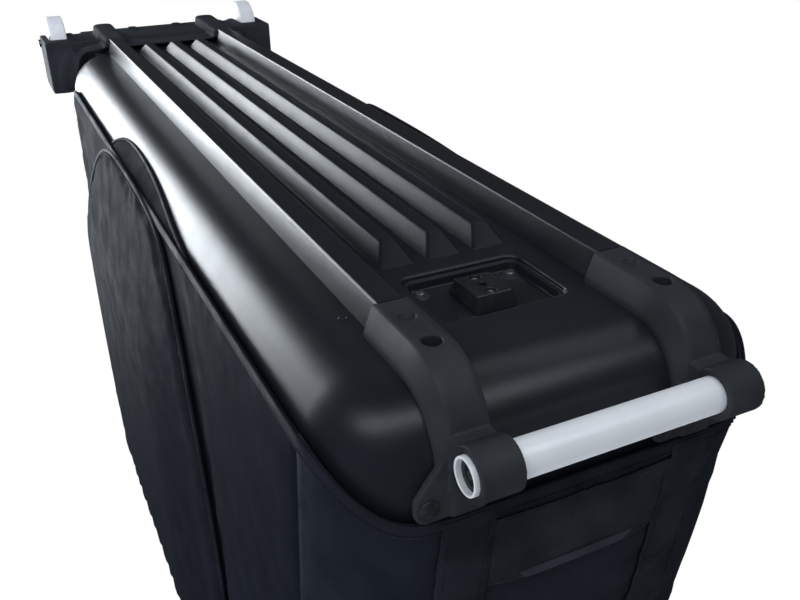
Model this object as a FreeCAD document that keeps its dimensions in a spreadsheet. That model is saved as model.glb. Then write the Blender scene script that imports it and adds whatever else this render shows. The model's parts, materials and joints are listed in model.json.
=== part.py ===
"""Bike travel case: soft bag on a moulded base with skid rails, a pull bar and two wheels.

X runs along the case towards the pull bar, Y across it and Z up. The base is drawn level, with
the underside of the rails at Z = 0, and every sub-part then gets the same stance, which stands
the case on its wheels and on the bend of its front brackets.
"""
import FreeCAD, Part
import math
import os
import re
import Sketcher
from FreeCAD import Placement, Rotation, Vector

doc = FreeCAD.newDocument("bike_travel_case")

# Driving dimensions in millimetres, angles in degrees
SIZES = [
    ("fit_gap", 0.3, "clear gap between neighbouring pieces"),
    ("run_gap", 0.05, "radial clearance of a shaft in its bore"),
    ("overrun", 20, "how far a cutting solid passes the face it cuts"),
    ("shell_width", 360, "base shell, outside"),
    ("shell_front_x", 46, "front wall of the base shell"),
    ("shell_rear_x", -1262, "rear wall of the base shell"),
    ("shell_rim_z", 118, "upper rim of the base shell"),
    ("shell_wall", 3, "wall of the base shell"),
    ("shell_edge_radius", 50, "round between floor and walls"),
    ("shell_corner_radius", 75, "round of the upright corners"),
    ("rail_spacing", 190, "between the centres of the skid rails"),
    ("rail_crown_width", 21, "running face of a rail"),
    ("rail_foot_width", 31, "foot of a rail on the shell"),
    ("rail_height", 24, "rail below the shell"),
    ("rail_front_x", -62, "where a rail meets its bracket"),
    ("rail_rear_x", -1166, "where a rail meets the wheel carrier"),
    ("rib_pitch", 44.2, "between the ribs"),
    ("rib_crown_width", 13.6, "crown of a rib"),
    ("rib_foot_width", 32.5, "foot of a rib"),
    ("rib_height", 15.8, "rib below the shell"),
    ("rib_front_x", -157, "front foot of the ribs"),
    ("rib_rear_x", -1158, "rear foot of the ribs"),
    ("rib_end_run", 18.6, "run of a rib's sloped end"),
    ("recess_centre_x", -94, "middle of the recess"),
    ("recess_length", 80, "recess along the case"),
    ("recess_width", 110, "recess across the case"),
    ("recess_depth", 12, "recess from the shell's underside"),
    ("recess_corner_radius", 11, "corners of the recess"),
    ("recess_ledge", 4, "width of the step round the recess"),
    ("recess_ledge_depth", 4.5, "depth of that step"),
    ("recess_screw_inset", 9, "recess screw from the deep walls"),
    ("recess_screw_radius", 4.5, "head of a recess screw"),
    ("recess_screw_height", 3, "head of a recess screw"),
    ("dock_length", 36, "dock block, top"),
    ("dock_width", 31, "dock block, top"),
    ("dock_foot_length", 46, "dock block, foot"),
    ("dock_foot_width", 37, "dock block, foot"),
    ("dock_height", 13.5, "dock block from the recess floor"),
    ("dock_hole_pitch", 12.3, "between the holes of the dock block"),
    ("dock_bore_radius", 2.6, "hole for a dock screw"),
    ("dock_head_radius", 4.6, "counterbore of the dock screws"),
    ("dock_head_depth", 5, "counterbore of the dock screws"),
    ("dock_socket_radius", 3.4, "plain socket in the middle of the dock block"),
    ("dock_socket_depth", 9, "depth of that socket"),
    ("plate_length", 64, "backing plate"),
    ("plate_width", 44, "backing plate"),
    ("plate_thickness", 4, "backing plate"),
    ("bracket_width", 28, "bar of a front bracket"),
    ("bracket_front_x", 54, "front face of a bracket"),
    ("bracket_foot_z", 102, "upper end of a bracket's foot"),
    ("bracket_bend_radius", 54, "outer bend of a bracket"),
    ("bracket_edge_radius", 3.5, "rounded edges of a bracket's bar"),
    ("skirt_width", 42, "flanks of a bracket along the shell"),
    ("skirt_thickness", 5.4, "flanks of a bracket along the shell"),
    ("flange_width", 78, "foot of a bracket over its lobes"),
    ("flange_thickness", 6, "lobes of the foot"),
    ("flange_start_z", 50, "where the foot starts to widen"),
    ("flange_shoulder_z", 82, "where the foot is full width"),
    ("flange_corner_radius", 10, "corners of the foot"),
    ("rivet_offset", 29, "rivet from the middle of its bracket"),
    ("rivet_z", 90, "rivets of the foot"),
    ("rivet_head_radius", 7.5, "rivet head"),
    ("rivet_head_height", 2.5, "rivet head"),
    ("rivet_shank_radius", 3, "rivet shank"),
    ("loop_radius", 18.5, "loop that holds the pull bar"),
    ("loop_width", 30, "loop along the pull bar"),
    ("neck_height", 25, "neck between bracket and loop"),
    ("bolt_hole_radius", 7, "deep hole in a bracket"),
    ("bolt_hole_depth", 16, "deep hole in a bracket"),
    ("bolt_radius", 3, "shank of the bracket and rail screws"),
    ("bolt_head_radius", 5.5, "their heads"),
    ("bolt_head_height", 5, "their heads"),
    ("nut_radius", 5.8, "nut on a bracket bolt"),
    ("nut_height", 5, "nut on a bracket bolt"),
    ("nut_stand", 1.5, "nut above the floor, clear of the floor's round"),
    ("dimple_x", -35.6, "shallow hole in a bracket"),
    ("dimple_radius", 6, "shallow hole in a bracket"),
    ("dimple_depth", 3, "shallow hole in a bracket"),
    ("tube_x", 75.5, "axis of the pull bar"),
    ("tube_z", 51, "axis of the pull bar"),
    ("tube_radius", 13, "pull bar, outside"),
    ("tube_wall", 1.8, "pull bar, wall"),
    ("tube_length", 226, "pull bar"),
    ("plug_inset", 4, "end plug inside the pull bar's end"),
    ("plug_length", 12, "end plug"),
    ("cap_wall", 10, "carrier over the shell's rear end"),
    ("cap_top_z", 100, "upper edge of the carrier"),
    ("beam_width", 410, "carrier over its ears"),
    ("beam_front_x", -1240, "cross beam of the carrier, front"),
    ("beam_rear_x", -1345, "cross beam of the carrier, rear"),
    ("beam_bottom_z", 11, "cross beam of the carrier, underside"),
    ("beam_top_z", 64, "cross beam of the carrier, top"),
    ("beam_edge_radius", 14, "rounded edges of the cross beam"),
    ("ear_top_z", 100, "upper end of the ears over the wheels"),
    ("boss_x", -1297, "rounded end of a carrier boss"),
    ("boss_radius", 18, "carrier boss behind a rail"),
    ("boss_bottom_z", -4, "underside of a carrier boss"),
    ("boss_edge_radius", 6, "rounded edge of a carrier boss"),
    ("bump_x", -1313, "small bump on the carrier"),
    ("bump_spacing", 82, "between the small bumps"),
    ("bump_radius", 9, "small bump"),
    ("bump_bottom_z", 7, "underside of a small bump"),
    ("axle_x", -1326, "wheel axles"),
    ("axle_z", 24, "wheel axles"),
    ("ear_thickness", 12.1, "outer cheek of the carrier beside a wheel"),
    ("wheel_radius", 45, "wheel"),
    ("wheel_width", 28, "wheel"),
    ("wheel_slot_gap", 2.4, "side of a wheel to its ear"),
    ("wheel_slot_front_gap", 7, "front of a wheel to the carrier"),
    ("tyre_thickness", 11, "tyre tread over the hub"),
    ("tyre_edge_radius", 8, "rounded shoulders of a tyre"),
    ("hub_rim", 4, "rim of a hub"),
    ("hub_web", 7, "web of a hub"),
    ("hub_boss_radius", 15, "boss of a hub round its bearings"),
    ("bearing_radius", 11, "wheel bearing"),
    ("bearing_width", 7, "wheel bearing"),
    ("axle_radius", 4, "axle bolt"),
    ("axle_head_radius", 6.5, "head of an axle bolt"),
    ("axle_head_height", 4, "head of an axle bolt"),
    ("axle_nut_height", 6, "nut of an axle bolt"),
    ("carrier_screw_spacing", 250, "carrier screws in the shell's rear wall"),
    ("carrier_screw_z", 82, "carrier screws"),
    ("bag_fabric", 4, "padded fabric of the bag"),
    ("bag_top_z", 829, "top of the bag"),
    ("bag_hem_z", 60, "lower edge of the side walls"),
    ("bag_front_hem_z", 105, "lower edge of the front wall"),
    ("front_lean", 8, "backward lean of the front wall"),
    ("rear_round", 300, "round between rear wall and hood"),
    ("front_round", 60, "round between front wall and lid"),
    ("lid_depth", 35, "lid above the zip"),
    ("lid_rear_x", -955, "rear end of the lid"),
    ("hem_width", 11, "binding along the hem"),
    ("hem_thickness", 1.6, "binding along the hem"),
    ("hinge_offset", 7, "lid hinge outside the wall"),
    ("hinge_bead_radius", 2.5, "piping in the lid hinge"),
    ("hinge_flap", 2, "fabric of the lid hinge"),
    ("zip_tape_height", 9, "zip tape on each side of the teeth"),
    ("zip_tape", 1.5, "thickness of the zip"),
    ("slider_length", 24, "zip slider"),
    ("slider_height", 12, "zip slider"),
    ("slider_thickness", 4.5, "zip slider"),
    ("slider_meet_x", -500, "where the closed sliders meet"),
    ("slider_part", 2, "gap between the closed sliders"),
    ("lug_width", 3, "lug that carries a pull"),
    ("lug_height", 7, "lug that carries a pull"),
    ("pin_radius", 1.2, "pin of a pull"),
    ("pin_stand", 4, "pin from the slider's face"),
    ("eye_radius", 2.8, "eye of a pull"),
    ("pull_width", 9, "pull"),
    ("pull_length", 34, "pull"),
    ("pull_thickness", 3, "pull"),
    ("pocket_rear_x", -1075, "rear edge of a wheel pocket"),
    ("pocket_front_x", -340, "front edge of a wheel pocket"),
    ("pocket_rear_radius", 340, "rear lower corner of a wheel pocket"),
    ("pocket_front_radius", 170, "front lower corner of a wheel pocket"),
    ("pocket_bottom_z", 68, "lower edge of a wheel pocket"),
    ("pocket_top_z", 742, "open mouth of a wheel pocket"),
    ("pocket_depth", 26, "wheel pocket across the case"),
    ("pocket_fabric", 3, "fabric of a wheel pocket"),
    ("strap_width", 40, "webbing straps on the front wall"),
    ("strap_thickness", 2, "webbing straps on the front wall"),
    ("strap_top_z", 655, "upper end of the straps"),
    ("panel_top_z", 190, "rough panel between the straps"),
    ("panel_thickness", 1.4, "rough panel between the straps"),
    ("tab_width", 96, "pale tab"),
    ("tab_height", 7, "pale tab"),
    ("tab_thickness", 1.5, "pale tab"),
    ("handle_length", 210, "carry handle"),
    ("handle_drop", 80, "carry handle"),
    ("handle_webbing", 32, "webbing of a carry handle"),
    ("handle_thickness", 4, "webbing of a carry handle"),
    ("front_handle_z", 640, "front carry handle"),
    ("rear_handle_z", 500, "rear carry handle"),
    ("foam_thickness", 20, "pad on the floor"),
    ("foam_side_margin", 5, "pad's sides from the floor's round"),
    ("foam_margin", 20, "pad's ends from the stay sockets"),
    ("foam_window_margin", 14, "pad's window round the recess"),
    ("groove_width", 16, "pad's grooves over the rail screws"),
    ("groove_depth", 8, "pad's grooves over the rail screws"),
    ("cradle_x", -600, "frame cradle"),
    ("cradle_length", 140, "frame cradle"),
    ("cradle_width", 90, "frame cradle"),
    ("cradle_height", 100, "frame cradle"),
    ("cradle_notch_radius", 26, "notch for the frame"),
    ("cradle_strap_width", 40, "strap over the cradle"),
    ("cradle_strap_thickness", 2.5, "strap over the cradle"),
    ("cradle_strap_reach", 50, "how far the strap's legs reach down"),
    ("stay_radius", 5, "stay rod"),
    ("stay_side_inset", 65, "stay rods from the shell's sides"),
    ("stay_inset", 70, "stay rods from the end walls"),
    ("stay_foot", 6, "stay rod's end above the floor"),
    ("front_stay_top_z", 770, "front stay rods"),
    ("rear_stay_top_z", 660, "rear stay rods"),
    ("socket_size", 26, "stay socket"),
    ("socket_height", 30, "stay socket"),
]

# How many of each, and where along its piece, as shares
RIB_PLACES = (-1, 0, 1)
RAIL_SCREW_SHARES = (0.08, 0.36, 0.64, 0.92)
NUT_SIDES = 6

sheet = doc.addObject("Spreadsheet::Sheet", "sizes")
for row, (alias, value, meaning) in enumerate(SIZES, 1):
    sheet.set(f"A{row}", meaning)
    sheet.set(f"B{row}", str(value))
    sheet.setAlias(f"B{row}", alias)
doc.recompute()
ALIASES = {alias for alias, value, meaning in SIZES}

# Places that several pieces share, written in the sheet's sizes
HALF_WIDTH = "shell_width / 2"
FLOOR_Z = "rail_height + fit_gap"
INNER_Z = f"{FLOOR_Z} + shell_wall"
RAIL_Y = "rail_spacing / 2"
WHEEL_Y = "(beam_width / 2 - ear_thickness - wheel_slot_gap - wheel_width / 2)"
WHEEL_CHEEK = "(wheel_width / 2 + wheel_slot_gap)"
INNER_CHEEK = "(2 * bearing_width)"
EAR_WIDTH = f"(ear_thickness + 2 * {WHEEL_CHEEK} + {INNER_CHEEK})"
BAG_SIDE = f"({HALF_WIDTH} + fit_gap + bag_fabric)"
BAG_REAR = "(shell_rear_x - fit_gap - bag_fabric)"
REAR_SPLIT = "(shell_rear_x + shell_corner_radius)"
ZIP_Z = "(bag_top_z - lid_depth)"
HINGE_Y = f"(-{BAG_SIDE} - hinge_offset)"
RECESS_FLOOR = f"({FLOOR_Z} + recess_depth)"
STAY_FRONT = "(shell_front_x - stay_inset)"
STAY_REAR = "(shell_rear_x + stay_inset)"
PIN_Y = f"({BAG_SIDE} + fit_gap + zip_tape + fit_gap + slider_thickness + pin_stand)"

TURN_TO = {
    "X": Rotation(Vector(0, 1, 0), 90),
    "Y": Rotation(Vector(1, 0, 0), -90),
    "Z": Rotation(),
}
subparts = []


def size(alias):
    """A driving dimension as a plain number."""
    return float(sheet.get(alias))


def linked(text):
    """An expression in which every size is read from the sheet."""
    return re.sub(r"[a-z]\w*", lambda m: "sizes." + m[0] if m[0] in ALIASES else m[0], str(text))


def bind(obj, **sizes):
    for name, text in sizes.items():
        obj.setExpression(name, linked(text))
    return obj


def place(obj, x=0, y=0, z=0, turn=None):
    """Put an object at a place given in sizes, after an optional fixed turn."""
    if turn:
        obj.Placement = Placement(Vector(), turn)
    for name, text in (("x", x), ("y", y), ("z", z)):
        obj.setExpression("Placement.Base." + name, linked(text))
    return obj


def box(name, x, y, z):
    """A box from three pairs of limits."""
    obj = doc.addObject("Part::Box", name)
    bind(obj, Length=f"({x[1]}) - ({x[0]})", Width=f"({y[1]}) - ({y[0]})", Height=f"({z[1]}) - ({z[0]})")
    return place(obj, x[0], y[0], z[0])


def across(width, y=0):
    """Limits of something that is centred across the case."""
    return (f"({y}) - ({width}) / 2", f"({y}) + ({width}) / 2")


def rod(name, axis, start, radius, length):
    """A round bar that starts at a point and runs along an axis."""
    obj = doc.addObject("Part::Cylinder", name)
    bind(obj, Radius=radius, Height=length)
    return place(obj, *start, turn=TURN_TO[axis])


def frustum(name, centre, foot, crown, low, high):
    """A block whose flat ends are rectangles: sizes at its low end and at its high end."""
    obj = doc.addObject("Part::Wedge", name)
    bind(obj, Xmin=f"-({foot[0]}) / 2", Xmax=f"({foot[0]}) / 2", X2min=f"-({crown[0]}) / 2",
         X2max=f"({crown[0]}) / 2", Zmin=f"-({foot[1]}) / 2", Zmax=f"({foot[1]}) / 2",
         Z2min=f"-({crown[1]}) / 2", Z2max=f"({crown[1]}) / 2", Ymin="0", Ymax=f"({high}) - ({low})")
    return place(obj, centre[0], centre[1], low, turn=Rotation(Vector(1, 0, 0), 90))


def fuse(name, *shapes):
    obj = doc.addObject("Part::MultiFuse", name)
    obj.Shapes = list(shapes)
    return obj


def cut(name, base, *tools):
    obj = doc.addObject("Part::Cut", name)
    obj.Base = base
    obj.Tool = tools[0] if len(tools) == 1 else fuse(name + "_tools", *tools)
    return obj


def common(name, first, second):
    obj = doc.addObject("Part::Common", name)
    obj.Base = first
    obj.Tool = second
    return obj


def group(name, *shapes):
    obj = doc.addObject("Part::Compound", name)
    obj.Links = list(shapes)
    return obj


def outline(body, name, plane, points):
    """A closed sketch whose corners are bound to the sheet."""
    sketch = body.newObject("Sketcher::SketchObject", name)
    origin = next(item for item in body.Origin.OriginFeatures if item.Role == plane)
    sketch.AttachmentSupport = (origin, [""])
    sketch.MapMode = "FlatFace"
    count = len(points)
    corners = [Vector(math.cos(2 * math.pi * i / count), math.sin(2 * math.pi * i / count), 0)
               for i in range(count)]
    for i in range(count):
        sketch.addGeometry(Part.LineSegment(corners[i], corners[(i + 1) % count]))
    for i in range(count):
        sketch.addConstraint(Sketcher.Constraint("Coincident", i, 2, (i + 1) % count, 1))
    for i, (across_text, up_text) in enumerate(points):
        for kind, start, text in (("DistanceX", corners[i].x, across_text),
                                  ("DistanceY", corners[i].y, up_text)):
            index = sketch.addConstraint(Sketcher.Constraint(kind, -1, 1, i, 1, start))
            sketch.setExpression(f"Constraints[{index}]", linked(text))
    return sketch


def slab(name, plane, points, width):
    """A body padded evenly to both sides of its sketch."""
    body = doc.addObject("PartDesign::Body", name)
    pad = body.newObject("PartDesign::Pad", name + "_pad")
    pad.Profile = outline(body, name + "_outline", plane, points)
    pad.SideType = "Symmetric"
    bind(pad, Length=width)
    doc.recompute()
    return body


def turned(name, points):
    """A body turned about the Y axis; points are radius and place along the axis."""
    body = doc.addObject("PartDesign::Body", name)
    sketch = outline(body, name + "_outline", "XY_Plane", points)
    turn = body.newObject("PartDesign::Revolution", name + "_turn")
    turn.Profile = sketch
    turn.ReferenceAxis = (sketch, ["V_Axis"])
    turn.Angle = 360
    doc.recompute()
    return body


def soften(body, name, radius, wanted):
    """Round those edges of a body for which wanted is true."""
    base = body.Tip
    edges = [f"Edge{i}" for i, edge in enumerate(base.Shape.Edges, 1) if wanted(edge)]
    fillet = body.newObject("PartDesign::Fillet", name)
    fillet.Base = (base, edges)
    bind(fillet, Radius=radius)
    doc.recompute()
    return body


def runs_along(edge, axis):
    start, end = edge.Vertexes[0].Point, edge.Vertexes[-1].Point
    step = end - start
    return abs(getattr(step, axis)) > step.Length / math.sqrt(2)


def lowest(body):
    return body.Tip.Shape.BoundBox.ZMin


def subpart(label, obj):
    """Register a finished sub-part under the name of its file."""
    if obj.ExpressionEngine and any("Placement" in path for path, text in obj.ExpressionEngine):
        obj = group(label + "_set", obj)
    obj.Label = label
    subparts.append(obj)
    return obj


def mirrored_pair(make):
    """The same piece on the left (+Y) and on the right (-Y)."""
    for side, sign in (("left", ""), ("right", "-")):
        make(side, sign)


# Forms that several pieces are cut to
def tub(name, grow, rim):
    """The base shell's outside, grown all round, up to a rim."""
    low = f"{FLOOR_Z} - ({grow})"
    body = slab(name, "XZ_Plane", [
        (f"shell_rear_x - ({grow})", low),
        (f"shell_front_x + ({grow})", low),
        (f"shell_front_x + ({grow})", rim),
        (f"shell_rear_x - ({grow})", rim),
    ], f"shell_width + 2 * ({grow})")
    soften(body, name + "_corners", f"shell_corner_radius + ({grow})", lambda edge: runs_along(edge, "z"))
    floor = lowest(body)
    touch = size("fit_gap")
    return soften(body, name + "_edges", f"shell_edge_radius + ({grow})",
                  lambda edge: edge.BoundBox.ZMax < floor + touch)


def front_at(z, grow):
    """Where the leaning front of the bag stands at a height."""
    return (f"(shell_front_x + fit_gap + ({grow}) / cos(front_lean)"
            f" - (({z}) - shell_rim_z) * tan(front_lean))")


def bag_form(name, grow, low):
    """The bag as a full solid: upright rounded corners, rounded front and rear ends of the top."""
    top = f"bag_top_z - bag_fabric + ({grow})"
    rear = f"shell_rear_x - fit_gap - ({grow})"
    points = [(rear, low), (front_at(low, grow), low), (front_at(top, grow), top), (rear, top)]
    width = f"shell_width + 2 * (fit_gap + ({grow}))"
    upright = slab(name + "_upright", "XZ_Plane", points, width)
    soften(upright, name + "_corners", f"shell_corner_radius + ({grow})", lambda edge: runs_along(edge, "z"))
    roofed = slab(name + "_roofed", "XZ_Plane", points, width)
    middle = roofed.Shape.BoundBox.Center
    for end, radius in (("rear", "rear_round"), ("front", "front_round")):
        ahead = end == "front"
        soften(roofed, f"{name}_{end}_round", f"{radius} + ({grow}) - bag_fabric",
               lambda edge: edge.BoundBox.ZMin > middle.z and runs_along(edge, "y")
               and (edge.BoundBox.XMin > middle.x) == ahead)
    return common(name, upright, roofed)


tub_clear = tub("tub_clear", "fit_gap", "bag_top_z")
tub_skirt = tub("tub_skirt", "fit_gap + skirt_thickness", "bracket_foot_z")


def slab_box(name, length, width, depth):
    """A round-cornered pocket in the shell's underside at the recess."""
    body = slab(name, "XZ_Plane", [
        (f"recess_centre_x - ({length}) / 2", f"{FLOOR_Z} - recess_depth"),
        (f"recess_centre_x + ({length}) / 2", f"{FLOOR_Z} - recess_depth"),
        (f"recess_centre_x + ({length}) / 2", f"{FLOOR_Z} + ({depth})"),
        (f"recess_centre_x - ({length}) / 2", f"{FLOOR_Z} + ({depth})"),
    ], width)
    return soften(body, name + "_corners", "recess_corner_radius", lambda edge: runs_along(edge, "z"))


RECESS_SCREW_X = "(recess_centre_x - recess_length / 2 + recess_ledge + recess_screw_inset)"
RECESS_SCREW_Y = "(recess_width / 2 - recess_ledge - recess_screw_inset)"


def rail_screw_x(share):
    return f"(rail_rear_x + {share} * (rail_front_x - rail_rear_x))"


def make_base_shell():
    """Tray with hollow ribs and a stepped recess in its floor."""
    outside = tub("tub_outside", "0", "shell_rim_z")
    inside = tub("tub_inside", "-shell_wall", "shell_rim_z + overrun")
    middle = "(rib_front_x + rib_rear_x) / 2"
    length = "(rib_front_x - rib_rear_x)"
    ribs = []
    channels = []
    for place_share in RIB_PLACES:
        centre = (middle, f"{place_share} * rib_pitch")
        crown = f"{FLOOR_Z} - rib_height"
        ribs.append(frustum("rib", centre, (f"{length} - 2 * rib_end_run", "rib_crown_width"),
                            (length, "rib_foot_width"), crown, FLOOR_Z))
        slope = "(rib_foot_width - rib_crown_width) / rib_height"
        run = "2 * rib_end_run / rib_height"
        channels.append(frustum("channel", centre,
                                (f"{length} - 2 * rib_end_run - 2 * shell_wall",
                                 "rib_crown_width - 2 * shell_wall"),
                                (f"{length} - 2 * shell_wall + shell_wall * {run}",
                                 f"rib_foot_width - 2 * shell_wall + shell_wall * {slope}"),
                                f"{crown} + shell_wall", f"{INNER_Z} + shell_wall"))
    cup = box("recess_cup", across("recess_length + 2 * shell_wall", "recess_centre_x"),
              across("recess_width + 2 * shell_wall"), (FLOOR_Z, f"{RECESS_FLOOR} + shell_wall"))
    step = slab_box("recess_step", "recess_length", "recess_width", "recess_ledge_depth")
    well = slab_box("recess_well", "recess_length - 2 * recess_ledge", "recess_width - 2 * recess_ledge",
                    "recess_depth")
    holes = []
    for place_share in (-1, 1):
        holes.append(rod("dock_hole", "Z", (f"recess_centre_x + {place_share} * dock_hole_pitch", 0, FLOOR_Z),
                         "dock_bore_radius", "recess_depth + shell_wall + overrun"))
        holes.append(rod("recess_screw_hole", "Z", (RECESS_SCREW_X, f"{place_share} * {RECESS_SCREW_Y}",
                                                    FLOOR_Z),
                         "bolt_radius + run_gap", "recess_depth + shell_wall + overrun"))
        holes.append(rod("bracket_hole", "Z", (0, f"{place_share} * {RAIL_Y}", f"{FLOOR_Z} - overrun"),
                         "bolt_radius + run_gap", "2 * overrun"))
        holes.append(rod("nut_room", "Z", (0, f"{place_share} * {RAIL_Y}",
                                           f"{INNER_Z} + nut_stand - fit_gap"),
                         "nut_radius + fit_gap", "nut_height + overrun"))
        for share in RAIL_SCREW_SHARES:
            holes.append(rod("rail_hole", "Z", (rail_screw_x(share), f"{place_share} * {RAIL_Y}", FLOOR_Z),
                             "bolt_radius + run_gap", "overrun"))
        holes.append(rod("carrier_hole", "X", ("shell_rear_x - overrun",
                                               f"{place_share} * carrier_screw_spacing / 2",
                                               "carrier_screw_z"), "bolt_radius + run_gap", "2 * overrun"))
        for side in (-1, 1):
            holes.append(rod("rivet_hole", "X", ("shell_front_x - overrun",
                                                 f"{place_share} * {RAIL_Y} + {side} * rivet_offset",
                                                 "rivet_z"),
                             "rivet_shank_radius + run_gap", "2 * overrun"))
    tray = cut("tray", outside, inside)
    body = fuse("ribbed_tray", tray, cup, *ribs)
    subpart("base_shell", cut("base_shell", body, step, well, *channels, *holes))


def make_rail(side, sign):
    """Skid rail: a tapered bar with a tapped hole for each of its screws."""
    body = slab(f"rail_bar_{side}", "YZ_Plane", [
        ("-rail_crown_width / 2", "0"),
        ("rail_crown_width / 2", "0"),
        ("rail_foot_width / 2", "rail_height"),
        ("-rail_foot_width / 2", "rail_height"),
    ], "rail_front_x - rail_rear_x - 2 * fit_gap")
    soften(body, f"rail_edges_{side}", "bracket_edge_radius",
           lambda edge: runs_along(edge, "x") and edge.BoundBox.ZMax < size("rail_height") / 2)
    place(body, "(rail_front_x + rail_rear_x) / 2", f"{sign}{RAIL_Y}", 0)
    holes = [rod("rail_thread", "Z", (rail_screw_x(share), f"{sign}{RAIL_Y}", "rail_height / 2"),
                 "bolt_radius", "rail_height") for share in RAIL_SCREW_SHARES]
    subpart(f"skid_rail_{side}", cut(f"skid_rail_{side}", body, *holes))


def make_bracket(side, sign):
    """Front bracket: bar under the base, bend, widened foot on the front wall and loop."""
    middle = f"{sign}{RAIL_Y}"
    bar = slab(f"bar_{side}", "XZ_Plane", [
        ("rail_front_x", "0"),
        ("bracket_front_x", "0"),
        ("bracket_front_x", "bracket_foot_z"),
        ("rail_front_x", "bracket_foot_z"),
    ], "bracket_width")
    ahead = bar.Shape.BoundBox.XMax
    touch = size("fit_gap")
    soften(bar, f"bend_{side}", "bracket_bend_radius", lambda edge: runs_along(edge, "y")
           and edge.BoundBox.XMin > ahead - touch and edge.BoundBox.ZMax < touch)
    soften(bar, f"bar_edges_{side}", "bracket_edge_radius",
           lambda edge: not runs_along(edge, "y") and edge.BoundBox.ZMin < touch
           and (edge.BoundBox.ZMax < touch or edge.BoundBox.XMax > ahead - touch))
    place(bar, 0, middle, 0)
    foot = slab(f"foot_{side}", "YZ_Plane", [
        ("-bracket_width / 2", "flange_start_z"),
        ("bracket_width / 2", "flange_start_z"),
        ("flange_width / 2", "flange_shoulder_z"),
        ("flange_width / 2", "bracket_foot_z"),
        ("-flange_width / 2", "bracket_foot_z"),
        ("-flange_width / 2", "flange_shoulder_z"),
    ], "flange_thickness")
    soften(foot, f"foot_corners_{side}", "flange_corner_radius",
           lambda edge: runs_along(edge, "x") and edge.BoundBox.ZMin > size("flange_start_z") + touch)
    place(foot, "shell_front_x + fit_gap + flange_thickness / 2", middle, 0)
    loop = rod(f"loop_{side}", "Y", ("tube_x", f"{middle} - loop_width / 2", "tube_z"), "loop_radius",
               "loop_width")
    neck = box(f"neck_{side}", ("bracket_front_x - flange_thickness", "tube_x"), across("loop_width", middle),
               across("neck_height", "tube_z"))
    skirt = common(f"skirt_{side}", tub_skirt,
                   box(f"skirt_limits_{side}", ("rail_front_x", "shell_front_x + overrun"),
                       across("skirt_width", middle), ("0", "bracket_foot_z")))
    solid = fuse(f"bracket_blank_{side}", bar, skirt, foot, loop, neck)
    tools = [
        tub_clear,
        rod("tube_bore", "Y", ("tube_x", f"{middle} - loop_width", "tube_z"), "tube_radius + run_gap",
            "2 * loop_width"),
        rod("bolt_counterbore", "Z", (0, middle, "-overrun"), "bolt_hole_radius",
            "bolt_hole_depth + overrun"),
        rod("bolt_bore", "Z", (0, middle, 0), "bolt_radius + run_gap", "rail_height + overrun"),
        rod("dimple", "Z", ("dimple_x", middle, "-overrun"), "dimple_radius", "dimple_depth + overrun"),
    ]
    for offset in (-1, 1):
        tools.append(rod("rivet_bore", "X", ("shell_front_x", f"{middle} + {offset} * rivet_offset",
                                             "rivet_z"),
                         "rivet_shank_radius + run_gap", "overrun"))
    subpart(f"front_bracket_{side}", cut(f"front_bracket_{side}", solid, *tools))


def make_pull_bar():
    """Aluminium tube through both loops, closed by a plug in each end."""
    start = ("tube_x", "-tube_length / 2", "tube_z")
    outside = rod("tube_outside", "Y", start, "tube_radius", "tube_length")
    inside = rod("tube_inside", "Y", ("tube_x", "-tube_length / 2 - overrun", "tube_z"),
                 "tube_radius - tube_wall",
                 "tube_length + 2 * overrun")
    subpart("handle_tube", cut("handle_tube", outside, inside))
    plugs = [rod("plug", "Y", ("tube_x", y, "tube_z"), "tube_radius - tube_wall - run_gap", "plug_length")
             for y in ("-tube_length / 2 + plug_inset", "tube_length / 2 - plug_inset - plug_length")]
    subpart("tube_end_plugs", group("tube_end_plugs", *plugs))


def make_dock():
    """Dock block in the recess, its screws and the plate that they pull against."""
    low = f"{RECESS_FLOOR} - dock_height"
    block = frustum("dock_blank", ("recess_centre_x", 0), ("dock_length", "dock_width"),
                    ("dock_foot_length", "dock_foot_width"), low, f"{RECESS_FLOOR} - fit_gap")
    tools = [rod("dock_socket", "Z", ("recess_centre_x", 0, f"{low} - overrun"), "dock_socket_radius",
                 "dock_socket_depth + overrun")]
    screws = []
    threads = []
    plate_low = f"({RECESS_FLOOR} + shell_wall + fit_gap)"
    for place_share in (-1, 1):
        x = f"recess_centre_x + {place_share} * dock_hole_pitch"
        tools.append(rod("dock_counterbore", "Z", (x, 0, f"{low} - overrun"), "dock_head_radius",
                         "dock_head_depth + overrun"))
        tools.append(rod("dock_bore", "Z", (x, 0, low), "dock_bore_radius + run_gap",
                         "dock_height + overrun"))
        head = rod("dock_head", "Z", (x, 0, f"{low} + dock_head_depth / 2"), "dock_head_radius - fit_gap",
                   "dock_head_depth / 2")
        shank = rod("dock_shank", "Z", (x, 0, f"{low} + dock_head_depth / 2"), "dock_bore_radius - run_gap",
                    "dock_height - dock_head_depth / 2 + shell_wall + fit_gap + plate_thickness")
        screws.append(fuse("dock_screw", head, shank))
        threads.append(rod("plate_thread", "Z", (x, 0, RECESS_FLOOR), "dock_bore_radius", "overrun"))
    subpart("dock_block", cut("dock_block", block, *tools))
    subpart("dock_screws", group("dock_screws", *screws))
    plate = box("plate_blank", across("plate_length", "recess_centre_x"), across("plate_width"),
                (plate_low, f"{plate_low} + plate_thickness"))
    subpart("dock_backing_plate", cut("dock_backing_plate", plate, *threads))


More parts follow.
